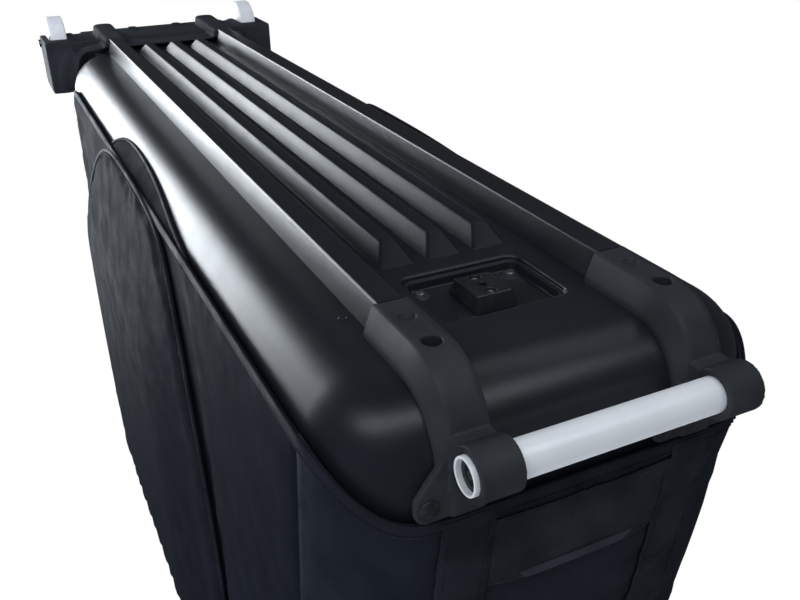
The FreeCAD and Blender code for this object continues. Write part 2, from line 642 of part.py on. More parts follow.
def pan_screw(name, start, head, length, up=True):
    """A screw along Z: its head above the seat (up) or below it, its shank on the other side."""
    x, y, z = start
    head_radius, head_height = head
    head_z = z if up else f"({z}) - ({head_height})"
    shank_z = f"({z}) - ({length})" if up else f"({z}) - ({head_height}) / 2"
    top = rod(name + "_head", "Z", (x, y, head_z), head_radius, head_height)
    shank = rod(name + "_shank", "Z", (x, y, shank_z), "bolt_radius - run_gap",
                f"{length} + ({head_height}) / 2")
    return fuse(name, top, shank)


def make_base_fasteners():
    """Screws and rivets that hold the base together, each kind as one set."""
    recess = [pan_screw("recess_screw", (RECESS_SCREW_X, f"{sign}{RECESS_SCREW_Y}",
                                         f"{RECESS_FLOOR} - fit_gap"),
                        ("recess_screw_radius", "recess_screw_height"), "shell_wall + 2 * fit_gap", up=False)
              for sign in ("", "-")]
    subpart("recess_screws", group("recess_screws", *recess))
    rail = [pan_screw("rail_screw", (rail_screw_x(share), f"{sign}{RAIL_Y}", f"{INNER_Z} + fit_gap"),
                      ("bolt_head_radius", "bolt_head_height"), "shell_wall + rail_height / 3")
            for sign in ("", "-") for share in RAIL_SCREW_SHARES]
    subpart("rail_screws", group("rail_screws", *rail))
    bolts = [pan_screw("bracket_bolt", (0, f"{sign}{RAIL_Y}", "bolt_hole_depth - fit_gap"),
                       ("bolt_head_radius", "bolt_head_height"),
                       f"{INNER_Z} - bolt_hole_depth + nut_stand + nut_height + 2 * fit_gap", up=False)
             for sign in ("", "-")]
    subpart("bracket_bolts", group("bracket_bolts", *bolts))
    nuts = []
    for sign in ("", "-"):
        blank = doc.addObject("Part::Prism", "nut_blank")
        blank.Polygon = NUT_SIDES
        bind(blank, Circumradius="nut_radius", Height="nut_height")
        place(blank, 0, f"{sign}{RAIL_Y}", f"{INNER_Z} + nut_stand")
        bore = rod("nut_bore", "Z", (0, f"{sign}{RAIL_Y}", FLOOR_Z), "bolt_radius", "overrun")
        nuts.append(cut("bracket_nut", blank, bore))
    subpart("bracket_nuts", group("bracket_nuts", *nuts))
    rivets = []
    seat = "shell_front_x + fit_gap + flange_thickness"
    for sign in ("", "-"):
        for offset in (-1, 1):
            y = f"{sign}{RAIL_Y} + {offset} * rivet_offset"
            head = rod("rivet_head", "X", (f"{seat} + fit_gap", y, "rivet_z"), "rivet_head_radius",
                       "rivet_head_height")
            shank = rod("rivet_shank", "X", ("shell_front_x - shell_wall - rivet_head_height", y, "rivet_z"),
                        "rivet_shank_radius - run_gap",
                        f"{seat} - shell_front_x + shell_wall + 2 * rivet_head_height")
            rivets.append(fuse("rivet", head, shank))
    subpart("foot_rivets", group("foot_rivets", *rivets))


def make_carrier():
    """Moulded cap over the shell's rear end, with a cross beam, bosses and slots for the wheels."""
    cap = common("cap", tub("cap_outside", "cap_wall", "shell_rim_z"),
                 box("cap_limits", ("beam_rear_x - overrun", "rail_rear_x"), across("2 * beam_width"),
                     ("-overrun", "cap_top_z")))
    beam = slab("beam", "XZ_Plane", [
        ("beam_rear_x", "beam_bottom_z"),
        ("beam_front_x", "beam_bottom_z"),
        ("beam_front_x", "beam_top_z"),
        ("beam_rear_x", "beam_top_z"),
    ], "beam_width")
    behind = beam.Shape.BoundBox.XMin + size("fit_gap")
    soften(beam, "beam_rear_edges", "beam_edge_radius",
           lambda edge: runs_along(edge, "y") and edge.BoundBox.XMax < behind)
    solids = [cap, beam]
    for sign in ("", "-"):
        ear = slab("ear", "XZ_Plane", [
            ("beam_rear_x", "beam_bottom_z"),
            ("beam_front_x", "beam_bottom_z"),
            ("beam_front_x", "ear_top_z"),
            ("beam_rear_x", "ear_top_z"),
        ], EAR_WIDTH)
        soften(ear, "ear_rear_edges", "beam_edge_radius",
               lambda edge: runs_along(edge, "y") and edge.BoundBox.XMax < behind)
        solids.append(place(ear, 0, f"{sign}(beam_width - {EAR_WIDTH}) / 2", 0))
        ridge = slab("ridge", "XZ_Plane", [
            ("boss_x - boss_radius", "boss_bottom_z"),
            ("rail_rear_x", "0"),
            ("rail_rear_x", FLOOR_Z),
            ("boss_x - boss_radius", FLOOR_Z),
        ], "2 * boss_radius")
        rear = ridge.Shape.BoundBox.XMin + size("fit_gap")
        soften(ridge, "ridge_round", "boss_radius * 2 / 3", lambda edge: runs_along(edge, "z")
               and edge.BoundBox.XMax < rear)
        under = lowest(ridge)
        soften(ridge, "ridge_edges", "boss_edge_radius",
               lambda edge: edge.BoundBox.ZMin < under + size("fit_gap")
               and not runs_along(edge, "z"))
        solids.append(place(ridge, 0, f"{sign}{RAIL_Y}", 0))
        solids.append(rod("bump", "Z", ("bump_x", f"{sign}bump_spacing / 2", "bump_bottom_z"), "bump_radius",
                          "beam_bottom_z - bump_bottom_z + overrun"))
    tools = [tub_clear]
    for sign in ("", "-"):
        middle = f"{sign}{WHEEL_Y}"
        tools.append(box("wheel_slot", ("axle_x - 2 * wheel_radius",
                                        "axle_x + wheel_radius + wheel_slot_front_gap"),
                         across("wheel_width + 2 * wheel_slot_gap", middle),
                         ("axle_z - 2 * wheel_radius", "axle_z + wheel_radius + wheel_slot_front_gap")))
        tools.append(rod("axle_bore", "Y", ("axle_x", f"{middle} - wheel_width - overrun", "axle_z"),
                         "axle_radius + run_gap", "2 * (wheel_width + overrun)"))
        tools.append(box("axle_nut_recess", ("axle_x - 2 * axle_head_radius",
                                             "axle_x + 2 * axle_head_radius"),
                         axle_nut_room(sign), ("-overrun", "axle_z + 2 * axle_head_radius")))
        tools.append(rod("carrier_bore", "X", ("shell_rear_x - overrun - cap_wall",
                                               f"{sign}carrier_screw_spacing / 2", "carrier_screw_z"),
                         "bolt_radius + run_gap", "2 * overrun + cap_wall"))
        tools.append(rod("carrier_access", "X", ("beam_rear_x - overrun", f"{sign}carrier_screw_spacing / 2",
                                                 "carrier_screw_z"), "bolt_head_radius + fit_gap",
                         "shell_rear_x - cap_wall - fit_gap - beam_rear_x + overrun"))
    subpart("wheel_carrier", cut("wheel_carrier", fuse("carrier_blank", *solids), *tools))
    screws = []
    for sign in ("", "-"):
        y = f"{sign}carrier_screw_spacing / 2"
        head = rod("carrier_head", "X", ("shell_rear_x - cap_wall - fit_gap - bolt_head_height", y,
                                         "carrier_screw_z"),
                   "bolt_head_radius", "bolt_head_height")
        shank = rod("carrier_shank", "X", ("shell_rear_x - cap_wall - bolt_head_height", y,
                                           "carrier_screw_z"),
                    "bolt_radius - run_gap", "cap_wall + bolt_head_height + shell_wall + nut_height")
        screws.append(fuse("carrier_screw", head, shank))
    subpart("carrier_screws", group("carrier_screws", *screws))


def axle_nut_room(sign):
    """Room inboard of a wheel's inner cheek for the axle's nut, as limits across the case."""
    far = f"{WHEEL_Y} - {WHEEL_CHEEK} - {INNER_CHEEK}"
    near = f"{far} - 2 * axle_nut_height"
    return (near, far) if sign == "" else (f"-({far})", f"-({near})")


def make_wheel(side, sign):
    """Wheel: tyre, hub, two bearings and the bolt and nut of its axle."""
    middle = f"{sign}{WHEEL_Y}"
    hub_radius = "(wheel_radius - tyre_thickness)"
    half = "wheel_width / 2"
    tyre = turned(f"tyre_blank_{side}", [
        (f"{hub_radius} + run_gap", f"-{half}"),
        ("wheel_radius", f"-{half}"),
        ("wheel_radius", half),
        (f"{hub_radius} + run_gap", half),
    ])
    outer = tyre.Shape.BoundBox.XMax - size("fit_gap")
    soften(tyre, f"tyre_shoulders_{side}", "tyre_edge_radius", lambda edge: edge.BoundBox.XMax > outer)
    place(tyre, "axle_x", middle, "axle_z")
    subpart(f"wheel_tyre_{side}", group(f"wheel_tyre_{side}", tyre))
    bore = "bearing_radius + run_gap"
    shaft = "axle_radius + 4 * run_gap"
    hub = turned(f"hub_blank_{side}", [
        (bore, f"-{half}"),
        ("hub_boss_radius", f"-{half}"),
        ("hub_boss_radius", "-hub_web / 2"),
        (f"{hub_radius} - hub_rim", "-hub_web / 2"),
        (f"{hub_radius} - hub_rim", f"-{half}"),
        (hub_radius, f"-{half}"),
        (hub_radius, half),
        (f"{hub_radius} - hub_rim", half),
        (f"{hub_radius} - hub_rim", "hub_web / 2"),
        ("hub_boss_radius", "hub_web / 2"),
        ("hub_boss_radius", half),
        (bore, half),
        (bore, f"{half} - bearing_width - run_gap"),
        (shaft, f"{half} - bearing_width - run_gap"),
        (shaft, f"-{half} + bearing_width + run_gap"),
        (bore, f"-{half} + bearing_width + run_gap"),
    ])
    place(hub, "axle_x", middle, "axle_z")
    subpart(f"wheel_hub_{side}", group(f"wheel_hub_{side}", hub))
    bearings = []
    for y in (f"{middle} - {half}", f"{middle} + {half} - bearing_width"):
        ring = rod("bearing_ring", "Y", ("axle_x", y, "axle_z"), "bearing_radius", "bearing_width")
        hole = rod("bearing_hole", "Y", ("axle_x", f"{y} - overrun", "axle_z"), "axle_radius + run_gap",
                   "bearing_width + 2 * overrun")
        bearings.append(cut("bearing", ring, hole))
    subpart(f"wheel_bearings_{side}", group(f"wheel_bearings_{side}", *bearings))
    inner = f"{WHEEL_Y} - {WHEEL_CHEEK} - {INNER_CHEEK}"
    outer_face = "beam_width / 2 + fit_gap"
    if sign == "":
        head_y = outer_face
        shank_y = f"{inner} - axle_nut_height - fit_gap"
        nut_y = f"{inner} - axle_nut_height - fit_gap"
    else:
        head_y = f"-({outer_face}) - axle_head_height"
        shank_y = f"-({outer_face}) - axle_head_height / 2"
        nut_y = f"-({inner}) + fit_gap"
    head = rod("axle_head", "Y", ("axle_x", head_y, "axle_z"), "axle_head_radius", "axle_head_height")
    shank = rod("axle_shank", "Y", ("axle_x", shank_y, "axle_z"), "axle_radius",
                f"{outer_face} + axle_head_height / 2 - ({inner}) + axle_nut_height + fit_gap")
    subpart(f"axle_bolt_{side}", fuse(f"axle_bolt_{side}", head, shank))
    blank = doc.addObject("Part::Prism", "axle_nut_blank")
    blank.Polygon = NUT_SIDES
    bind(blank, Circumradius="axle_head_radius", Height="axle_nut_height")
    place(blank, "axle_x", nut_y, "axle_z", turn=TURN_TO["Y"])
    hole = rod("axle_nut_hole", "Y", ("axle_x", f"{nut_y} - overrun", "axle_z"), "axle_radius + run_gap",
               "axle_nut_height + 2 * overrun")
    subpart(f"axle_nut_{side}", cut(f"axle_nut_{side}", blank, hole))


def front_split(z):
    """Plane behind the front wall's rounded corners, parallel to that wall."""
    return f"({front_at(z, 'bag_fabric')} - shell_corner_radius - bag_fabric)"


def make_bag():
    """Fabric walls, fixed rear hood and lid, as panels of one thin shell."""
    outside = bag_form("bag_outside", "bag_fabric", "bag_hem_z")
    inside = bag_form("bag_inside", "0", "bag_hem_z - overrun")
    shell = cut("bag_shell", outside, inside)
    wide = "2 * shell_width"
    far_front = "bracket_front_x + 2 * overrun"
    carrier_room = box("carrier_room", ("beam_rear_x", "rail_rear_x + fit_gap"), across(wide),
                       ("0", "cap_top_z + fit_gap"))
    for side, limits in (("left", (HALF_WIDTH, wide)), ("right", (f"-({wide})", f"-{HALF_WIDTH}"))):
        block = slab(f"side_block_{side}", "XZ_Plane", [
            (f"{REAR_SPLIT} + fit_gap", "bag_hem_z"),
            (f"{front_split('bag_hem_z')} - fit_gap", "bag_hem_z"),
            (f"{front_split(ZIP_Z)} - fit_gap", ZIP_Z),
            (f"{REAR_SPLIT} + fit_gap", ZIP_Z),
        ], wide)
        half = common(f"side_half_{side}", block, box(f"half_{side}", ("beam_rear_x", far_front), limits,
                                                      ("0", "bag_top_z + overrun")))
        panel = common(f"side_panel_{side}", shell, half)
        subpart(f"side_wall_{side}", cut(f"side_wall_{side}", panel, carrier_room))
    front_block = slab("front_block", "XZ_Plane", [
        (front_split("bag_hem_z"), "bag_hem_z"),
        (front_at("bag_front_hem_z", "bag_fabric"), "bag_front_hem_z"),
        (far_front, "bag_front_hem_z"),
        (far_front, ZIP_Z),
        (front_split(ZIP_Z), ZIP_Z),
    ], wide)
    subpart("front_wall", common("front_wall", shell, front_block))
    rear_block = box("rear_block", ("beam_rear_x", REAR_SPLIT), across(wide),
                     ("cap_top_z + fit_gap", "bag_top_z + overrun"))
    subpart("rear_wall", common("rear_wall", shell, rear_block))
    hood_run = (f"{REAR_SPLIT} + fit_gap", "lid_rear_x")
    hood_block = fuse("hood_block",
                      box("hood_skirt", hood_run, across(wide),
                          (f"{ZIP_Z} + fit_gap", "bag_top_z + overrun")),
                      box("hood_roof", hood_run, across("shell_width"),
                          ("bag_top_z - rear_round", "bag_top_z + overrun")))
    subpart("rear_hood", common("rear_hood", shell, hood_block))
    seam = "bag_top_z - bag_fabric"
    lid_block = box("lid_block", ("lid_rear_x + fit_gap", far_front), across(wide),
                    (f"{seam} + fit_gap", "bag_top_z + overrun"))
    subpart("lid_panel", common("lid_panel", shell, lid_block))
    corner_x = front_split(ZIP_Z)
    side_run = ("lid_rear_x + fit_gap", f"{corner_x} - fit_gap")
    for name, run, y in (("lid_band_front", (corner_x, far_front), across(wide)),
                         ("lid_band_left", side_run, ("0", wide)),
                         ("lid_band_right", side_run, (f"-({wide})", "0"))):
        block = box(name + "_block", run, y, (f"{ZIP_Z} + fit_gap", seam))
        subpart(name, common(name, shell, block))
    band = cut("zip_band", bag_form("zip_outside", "bag_fabric + fit_gap + zip_tape", "bag_hem_z"),
               bag_form("zip_inside", "bag_fabric + fit_gap", "bag_hem_z - overrun"))
    for name, limits in (("zip_tape_wall", (f"{ZIP_Z} - zip_tape_height", ZIP_Z)),
                         ("zip_tape_lid", (f"{ZIP_Z} + fit_gap", f"{ZIP_Z} + zip_tape_height"))):
        run = box(name + "_run", ("lid_rear_x + fit_gap", far_front),
                  (f"-({HALF_WIDTH}) + shell_corner_radius", wide), limits)
        subpart(name, common(name, band, run))


def make_hem():
    """Binding along the lower edge of the side and front walls."""
    strips = []
    for y in ((f"{BAG_SIDE} + fit_gap", f"{BAG_SIDE} + fit_gap + hem_thickness"),
              (f"-{BAG_SIDE} - fit_gap - hem_thickness", f"-{BAG_SIDE} - fit_gap")):
        strips.append(box("side_hem", ("rail_rear_x + overrun", front_split("bag_hem_z")), y,
                          ("bag_hem_z", "bag_hem_z + hem_width / 2")))
    low = "bag_front_hem_z"
    strips.append(front_strip("front_hem", low, f"{low} + hem_width", "hem_thickness",
                              "rail_spacing - strap_width - 2 * fit_gap", "0", "fit_gap"))
    subpart("hem_binding", group("hem_binding", *strips))


def front_strip(name, low, high, thickness, width, y, lift):
    """A strip that lies on the leaning front wall, lifted clear of it."""
    def face(z, extra):
        return f"{front_at(z, 'bag_fabric')} + (({lift}) + ({extra})) / cos(front_lean)"
    strip = slab(name, "XZ_Plane", [
        (face(low, "0"), low),
        (face(low, thickness), low),
        (face(high, thickness), high),
        (face(high, "0"), high),
    ], width)
    return place(strip, 0, y, 0)


def make_front_trim():
    """Webbing straps, rough panel and pale tab on the front wall."""
    low = "bag_front_hem_z"
    for side, sign in (("left", ""), ("right", "-")):
        strap = front_strip(f"strap_{side}", low, "strap_top_z", "strap_thickness", "strap_width",
                            f"{sign}{RAIL_Y}", "fit_gap")
        subpart(f"front_strap_{side}", strap)
    panel = front_strip("panel_sheet", f"{low} + hem_width + fit_gap", "panel_top_z", "panel_thickness",
                        "rail_spacing - strap_width - 2 * fit_gap", "0", "fit_gap")
    subpart("front_panel", panel)
    tab_low = "(panel_top_z - 3 * tab_height)"
    subpart("front_tab", front_strip("tab_sheet", tab_low, f"{tab_low} + tab_height", "tab_thickness",
                                     "tab_width",
                                     "0", "panel_thickness + 2 * fit_gap"))


def make_carry_handles():
    """Webbing handles that hang from their upper edge, with room for a hand."""
    window = "handle_length - 2 * handle_webbing"
    low = "(front_handle_z - handle_drop)"
    lift = "strap_thickness + 2 * fit_gap"
    front = front_strip("front_handle_sheet", low, "front_handle_z", "handle_thickness", "handle_length",
                        "0", lift)
    gap = box("front_handle_gap", (f"{front_at('front_handle_z', 'bag_fabric')} - overrun",
                                   "bracket_front_x"),
              across(window), (f"{low} + handle_webbing", "front_handle_z + overrun"))
    subpart("front_carry_handle", cut("front_carry_handle", front, gap))
    low = "(rear_handle_z - handle_drop)"
    rear = box("rear_handle_sheet", (f"{BAG_REAR} - fit_gap - handle_thickness", f"{BAG_REAR} - fit_gap"),
               across("handle_length"), (low, "rear_handle_z"))
    gap = box("rear_handle_gap", (f"{BAG_REAR} - overrun", BAG_REAR), across(window),
              (f"{low} + handle_webbing", "rear_handle_z + overrun"))
    subpart("rear_carry_handle", cut("rear_carry_handle", rear, gap))


def make_lid_hinge():
    """Sewn hinge along the right side: a piping bead on the wall and a flap on the lid."""
    run = ("lid_rear_x + fit_gap", front_split(ZIP_Z))
    bead = rod("hinge_bead", "X", (run[0], HINGE_Y, ZIP_Z), "hinge_bead_radius", f"{run[1]} - ({run[0]})")
    web = box("hinge_web", run, (HINGE_Y, f"-{BAG_SIDE} - fit_gap"),
              (f"{ZIP_Z} - hinge_bead_radius", f"{ZIP_Z} - hinge_bead_radius + hinge_flap / 2"))
    subpart("lid_hinge_piping", fuse("lid_hinge_piping", bead, web))
    flap = box("hinge_flap_sheet", run, (f"{HINGE_Y} + hinge_bead_radius + fit_gap",
                                         f"-{BAG_SIDE} - fit_gap"),
               (f"{ZIP_Z} + fit_gap", f"{ZIP_Z} + fit_gap + hinge_flap"))
    subpart("lid_hinge_flap", flap)


def make_zip_sliders():
    """Two sliders that meet when the zip is closed, each with a pull on a pin."""
    face = f"({BAG_SIDE} + fit_gap + zip_tape + fit_gap)"
    for end, sign in (("front", ""), ("rear", "-")):
        middle = f"(slider_meet_x + {sign}(slider_length + slider_part) / 2)"
        plate = box(f"slider_plate_{end}", across("slider_length", middle),
                    (face, f"{face} + slider_thickness"),
                    across("slider_height", ZIP_Z))
        lugs = []
        for step in (-1, 1):
            lug_x = f"{middle} + {step} * (pull_width + lug_width + run_gap) / 2"
            lugs.append(box(f"slider_lug_{end}", across("lug_width", lug_x),
                            (f"{face} + slider_thickness / 2", f"{PIN_Y} + 2 * pin_radius"),
                            across("lug_height", ZIP_Z)))
        pin = rod(f"slider_pin_{end}", "X", (f"{middle} - pull_width / 2 - lug_width / 2", PIN_Y, ZIP_Z),
                  "pin_radius", "pull_width + lug_width")
        subpart(f"zip_slider_{end}", fuse(f"zip_slider_{end}", plate, pin, *lugs))
        width = "pull_width - 2 * run_gap"
        eye = rod(f"pull_eye_{end}", "X", (f"{middle} - ({width}) / 2", PIN_Y, ZIP_Z), "eye_radius", width)
        tongue = box(f"pull_tongue_{end}", across(width, middle), across("pull_thickness", PIN_Y),
                     (f"{ZIP_Z} - pull_length", ZIP_Z))
        bore = rod(f"pull_bore_{end}", "X", (f"{middle} - pull_width", PIN_Y, ZIP_Z), "pin_radius + run_gap",
                   "2 * pull_width")
        subpart(f"zip_pull_{end}", cut(f"zip_pull_{end}", fuse(f"pull_blank_{end}", eye, tongue), bore))


def pocket_form(name, shrink, y, top):
    """Outline of a wheel pocket, with two rounded lower corners, between two planes across the case."""
    body = slab(name, "XZ_Plane", [
        (f"pocket_rear_x + ({shrink})", f"pocket_bottom_z + ({shrink})"),
        (f"pocket_front_x - ({shrink})", f"pocket_bottom_z + ({shrink})"),
        (f"pocket_front_x - ({shrink})", top),
        (f"pocket_rear_x + ({shrink})", top),
    ], f"({y[1]}) - ({y[0]})")
    middle = body.Shape.BoundBox.Center
    for end, radius in (("rear", "pocket_rear_radius"), ("front", "pocket_front_radius")):
        ahead = end == "front"
        soften(body, f"{name}_{end}_corner", f"{radius} - ({shrink})",
               lambda edge: runs_along(edge, "y") and edge.BoundBox.ZMax < middle.z
               and (edge.BoundBox.XMin > middle.x) == ahead)
    return place(body, 0, f"(({y[0]}) + ({y[1]})) / 2", 0)


def make_pocket(side, sign):
    """Wheel pocket: a round-cornered panel that stands off the side wall, open at the top."""
    near = f"{BAG_SIDE} + fit_gap"
    far = f"{near} + pocket_depth"
    inner = (f"{near} - overrun", f"{far} - pocket_fabric")
    outer = (near, far)
    if sign:
        inner = (f"-({inner[1]})", f"-({inner[0]})")
        outer = (f"-({outer[1]})", f"-({outer[0]})")
    whole = pocket_form(f"pocket_outside_{side}", "0", outer, "pocket_top_z")
    room = pocket_form(f"pocket_inside_{side}", "pocket_fabric", inner, "pocket_top_z + overrun")
    subpart(f"wheel_pocket_{side}", cut(f"wheel_pocket_{side}", whole, room))


def make_inside():
    """Floor pad, frame cradle with its strap, and the stay rods in their sockets."""
    low = f"({INNER_Z} + fit_gap)"
    pad = box("pad_blank", (f"{STAY_REAR} + socket_size / 2 + foam_margin",
                            f"{STAY_FRONT} - socket_size / 2 - foam_margin"),
              across("shell_width - 2 * (shell_edge_radius + foam_side_margin)"),
              (low, f"{low} + foam_thickness"))
    tools = [box("pad_window", across("recess_length + 2 * foam_window_margin", "recess_centre_x"),
                 across("recess_width + 2 * foam_window_margin"), ("0", f"{low} + 2 * foam_thickness"))]
    for sign in ("", "-"):
        tools.append(box("pad_groove", ("shell_rear_x", "shell_front_x"),
                         across("groove_width", f"{sign}{RAIL_Y}"),
                         ("0", f"{low} + groove_depth")))
    subpart("floor_pad", cut("floor_pad", pad, *tools))
    seat = f"({low} + foam_thickness + fit_gap)"
    top = f"({seat} + cradle_height)"
    block = box("cradle_blank", across("cradle_length", "cradle_x"), across("cradle_width"), (seat, top))
    notch = rod("cradle_notch", "X", ("cradle_x - cradle_length", 0, top), "cradle_notch_radius",
                "2 * cradle_length")
    subpart("frame_cradle", cut("frame_cradle", block, notch))
    reach = (f"{top} - cradle_strap_reach", f"{top} + fit_gap + cradle_strap_thickness")
    width = "cradle_width + 2 * fit_gap"
    strap = box("strap_blank", across("cradle_strap_width", "cradle_x"),
                across(f"{width} + 2 * cradle_strap_thickness"),
                reach)
    room = box("strap_room", across("2 * cradle_strap_width", "cradle_x"), across(width),
               (f"{top} - 2 * cradle_strap_reach", f"{top} + fit_gap"))
    subpart("cradle_strap", cut("cradle_strap", strap, room))
    rods = []
    sockets = []
    lean = Rotation(Vector(0, 1, 0), -size("front_lean"))
    for x, turn, stop in ((STAY_FRONT, lean, "front_stay_top_z"), (STAY_REAR, Rotation(), "rear_stay_top_z")):
        for sign in ("", "-"):
            y = f"{sign}({HALF_WIDTH} - stay_side_inset)"
            foot = f"({low} + stay_foot)"
            stay = doc.addObject("Part::Cylinder", "stay")
            bind(stay, Radius="stay_radius", Height=f"{stop} - {foot}")
            rods.append(place(stay, x, y, foot, turn=turn))
            bore = doc.addObject("Part::Cylinder", "socket_bore")
            bind(bore, Radius="stay_radius + run_gap", Height=f"{stop} - {foot}")
            place(bore, x, y, foot, turn=turn)
            cup = box("socket_cup", across("socket_size", x), across("socket_size", y),
                      (low, f"{low} + socket_height"))
            sockets.append(cut("socket", cup, bore))
    subpart("stay_rods", group("stay_rods", *rods))
    subpart("stay_sockets", group("stay_sockets", *sockets))


make_base_shell()
mirrored_pair(make_rail)
mirrored_pair(make_bracket)
make_pull_bar()
make_dock()
make_base_fasteners()
make_carrier()
mirrored_pair(make_wheel)
make_bag()
make_hem()
make_front_trim()
make_carry_handles()
make_lid_hinge()
make_zip_sliders()
mirrored_pair(make_pocket)
make_inside()
doc.recompute()


def stance():
    """The turn and shift that stand the case on its wheels and on its brackets' bends."""
    bend = Vector(size("bracket_front_x") - size("bracket_bend_radius"), 0, size("bracket_bend_radius"))
    axle = Vector(size("axle_x"), 0, size("axle_z"))
    span = bend - axle
    rise = size("bracket_bend_radius") - size("wheel_radius")
    lean = math.atan2(span.z, span.x) - math.asin(rise / span.Length)
    turn = Rotation(Vector(0, 1, 0), math.degrees(lean))
    rear = turn.multVec(axle)
    front = turn.multVec(Vector(size("tube_x"), 0, size("tube_z")))
    middle = (rear.x - size("wheel_radius") + front.x + size("loop_radius")) / 2
    return Placement(Vector(-middle, 0, size("wheel_radius") - rear.z), turn)


stand = stance()
for obj in subparts:
    obj.Placement = stand
doc.recompute()

faults = [obj.Name for obj in doc.Objects if {"Invalid", "Error"} & set(obj.State)]
faults += [obj.Label for obj in subparts
           if obj.Shape.isNull() or not obj.Shape.isValid() or not obj.Shape.Solids]
if faults:
    raise RuntimeError("failed: " + ", ".join(faults))

os.makedirs("parts", exist_ok=True)
for obj in subparts:
    obj.Shape.exportStep(f"parts/{obj.Label}.step")
whole = Part.makeCompound([obj.Shape for obj in subparts]).BoundBox
print(f"{len(subparts)} sub-parts, {sum(len(obj.Shape.Solids) for obj in subparts)} solids")
print(f"size {whole.XLength:.1f} x {whole.YLength:.1f} x {whole.ZLength:.1f}")
print(f"stance {stand.Base.x:.4f} {stand.Base.z:.4f} turn {math.degrees(stand.Rotation.Angle):.5f}")
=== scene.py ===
# %% [markdown]
# # A bike travel case
# The case is a soft bag sewn to a moulded tray. The tray has skid rails, a pull bar at one end
# and two wheels at the other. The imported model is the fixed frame, and every piece below is
# built round it in the same metres.

# %% Load the frame
import json
import math
import bpy
import numpy as np
from mathutils import Matrix, Vector


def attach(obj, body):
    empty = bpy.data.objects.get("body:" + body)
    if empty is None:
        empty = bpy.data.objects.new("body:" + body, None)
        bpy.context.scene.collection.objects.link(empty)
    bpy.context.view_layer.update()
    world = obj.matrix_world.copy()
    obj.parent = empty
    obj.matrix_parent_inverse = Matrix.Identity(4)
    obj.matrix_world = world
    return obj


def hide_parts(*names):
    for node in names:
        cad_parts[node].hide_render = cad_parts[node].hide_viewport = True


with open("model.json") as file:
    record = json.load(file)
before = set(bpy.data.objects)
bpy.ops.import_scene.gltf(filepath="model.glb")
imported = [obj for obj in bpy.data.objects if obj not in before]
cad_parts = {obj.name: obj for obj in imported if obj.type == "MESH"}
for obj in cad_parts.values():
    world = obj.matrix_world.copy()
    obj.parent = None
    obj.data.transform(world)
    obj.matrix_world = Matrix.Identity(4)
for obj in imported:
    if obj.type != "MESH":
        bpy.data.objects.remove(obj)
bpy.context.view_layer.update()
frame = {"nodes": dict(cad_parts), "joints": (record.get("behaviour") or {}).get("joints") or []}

JOINTS = {joint["name"]: joint for joint in frame["joints"]}
SIDES = (("left", 1), ("right", -1))
scene = bpy.context.scene

# %% [markdown]
# The case stands on its wheels and on the bend of its front brackets, so its base leans by about
# one degree. It is easier to draw it level, in millimetres, with the running face of the rails at
# zero height. The lid's hinge gives the lean and the wheel's axle gives the shift, so one matrix
# takes every drawn point into the frame.

# %% Level drawing frame
MM = 0.001
AXLE = Vector((-1326, 176.5, 24))
hinge_line = Vector(JOINTS["lid_open"]["axis"])
TURN = Matrix.Rotation(math.atan2(-hinge_line.z, hinge_line.x), 4, "Y")
SHIFT = Vector(JOINTS["wheel_left_spin"]["pos_m"]) - TURN @ (AXLE * MM)
STANCE = Matrix.Translation(SHIFT) @ TURN @ Matrix.Scale(MM, 4)
print("lean", round(math.degrees(TURN.to_euler().y), 3), "degrees")

# %% [markdown]
# ## Camera
# The picture shows the case turned over, so for the upright part the camera stands low, in front
# of the pull bar, looks up at the base and is upside down itself. Its place was worked out from
# pairs of points that mirror each other across the case. A matrix made of its right, up and
# forward arrows is simpler than three angles.

# %% Camera
EYE = Vector((428.77, 321.83, -279.32))
LOOK = Vector((-0.80173, -0.38266, 0.45912))
RIGHT = Vector((0.43718, -0.89927, 0.01391))
UP = Vector((-0.40755, -0.21187, -0.88827))
FOCUS_PX, PICTURE_WIDTH_PX, SENSOR = 868.05, 800, 36

camera = bpy.data.objects.new("camera", bpy.data.cameras.new("camera"))
scene.collection.objects.link(camera)
turn = TURN.to_3x3()
arrows = Matrix((turn @ RIGHT, turn @ UP, turn @ -LOOK)).transposed().to_4x4()
camera.matrix_world = Matrix.Translation(STANCE @ EYE) @ arrows
camera.data.sensor_width = SENSOR
camera.data.lens = SENSOR * FOCUS_PX / PICTURE_WIDTH_PX
camera.data.clip_start = 0.01
scene.camera = camera
print("lens", round(camera.data.lens, 2), "mm")

# %% [markdown]
# ## Nodes
# The world and every finish are small trees of nodes. Blender's own calls to add and link nodes
# are long, so a helper keeps the trees readable: a value that is a socket is linked, anything
# else is set on the input itself.

# %% Node helper


class Nodes:
    """A node tree, with a short way to add nodes to it."""

    def __init__(self, tree):
        self.tree = tree

    def put(self, node, values):
        for key, value in values.items():
            if isinstance(value, bpy.types.NodeSocket):
                self.tree.links.new(value, node.inputs[key])
            else:
                node.inputs[key].default_value = value
        return node

    def add(self, kind, values=None, **settings):
        node = self.tree.nodes.new("ShaderNode" + kind)
        for key, value in settings.items():
            setattr(node, key, value)
        return self.put(node, values or {})

    def maths(self, operation, *values, clamp=False):
        values = dict(enumerate(values))
        return self.add("Math", values, operation=operation, use_clamp=clamp).outputs[0]


print("node helper ready")

# %% [markdown]
# ## Light
# A studio uses large soft boxes: one long box beside the far end gives the bright band along the
# rounded edge of the tray, smaller ones give the sheen on the front and on the corner. They hang
# below the upright case, where they were above the turned one. Two more above it light the other
# sides, and are kept out of reflections.

# %% Lamps
LAMP_COLOUR = (0.88, 0.94, 1.0)
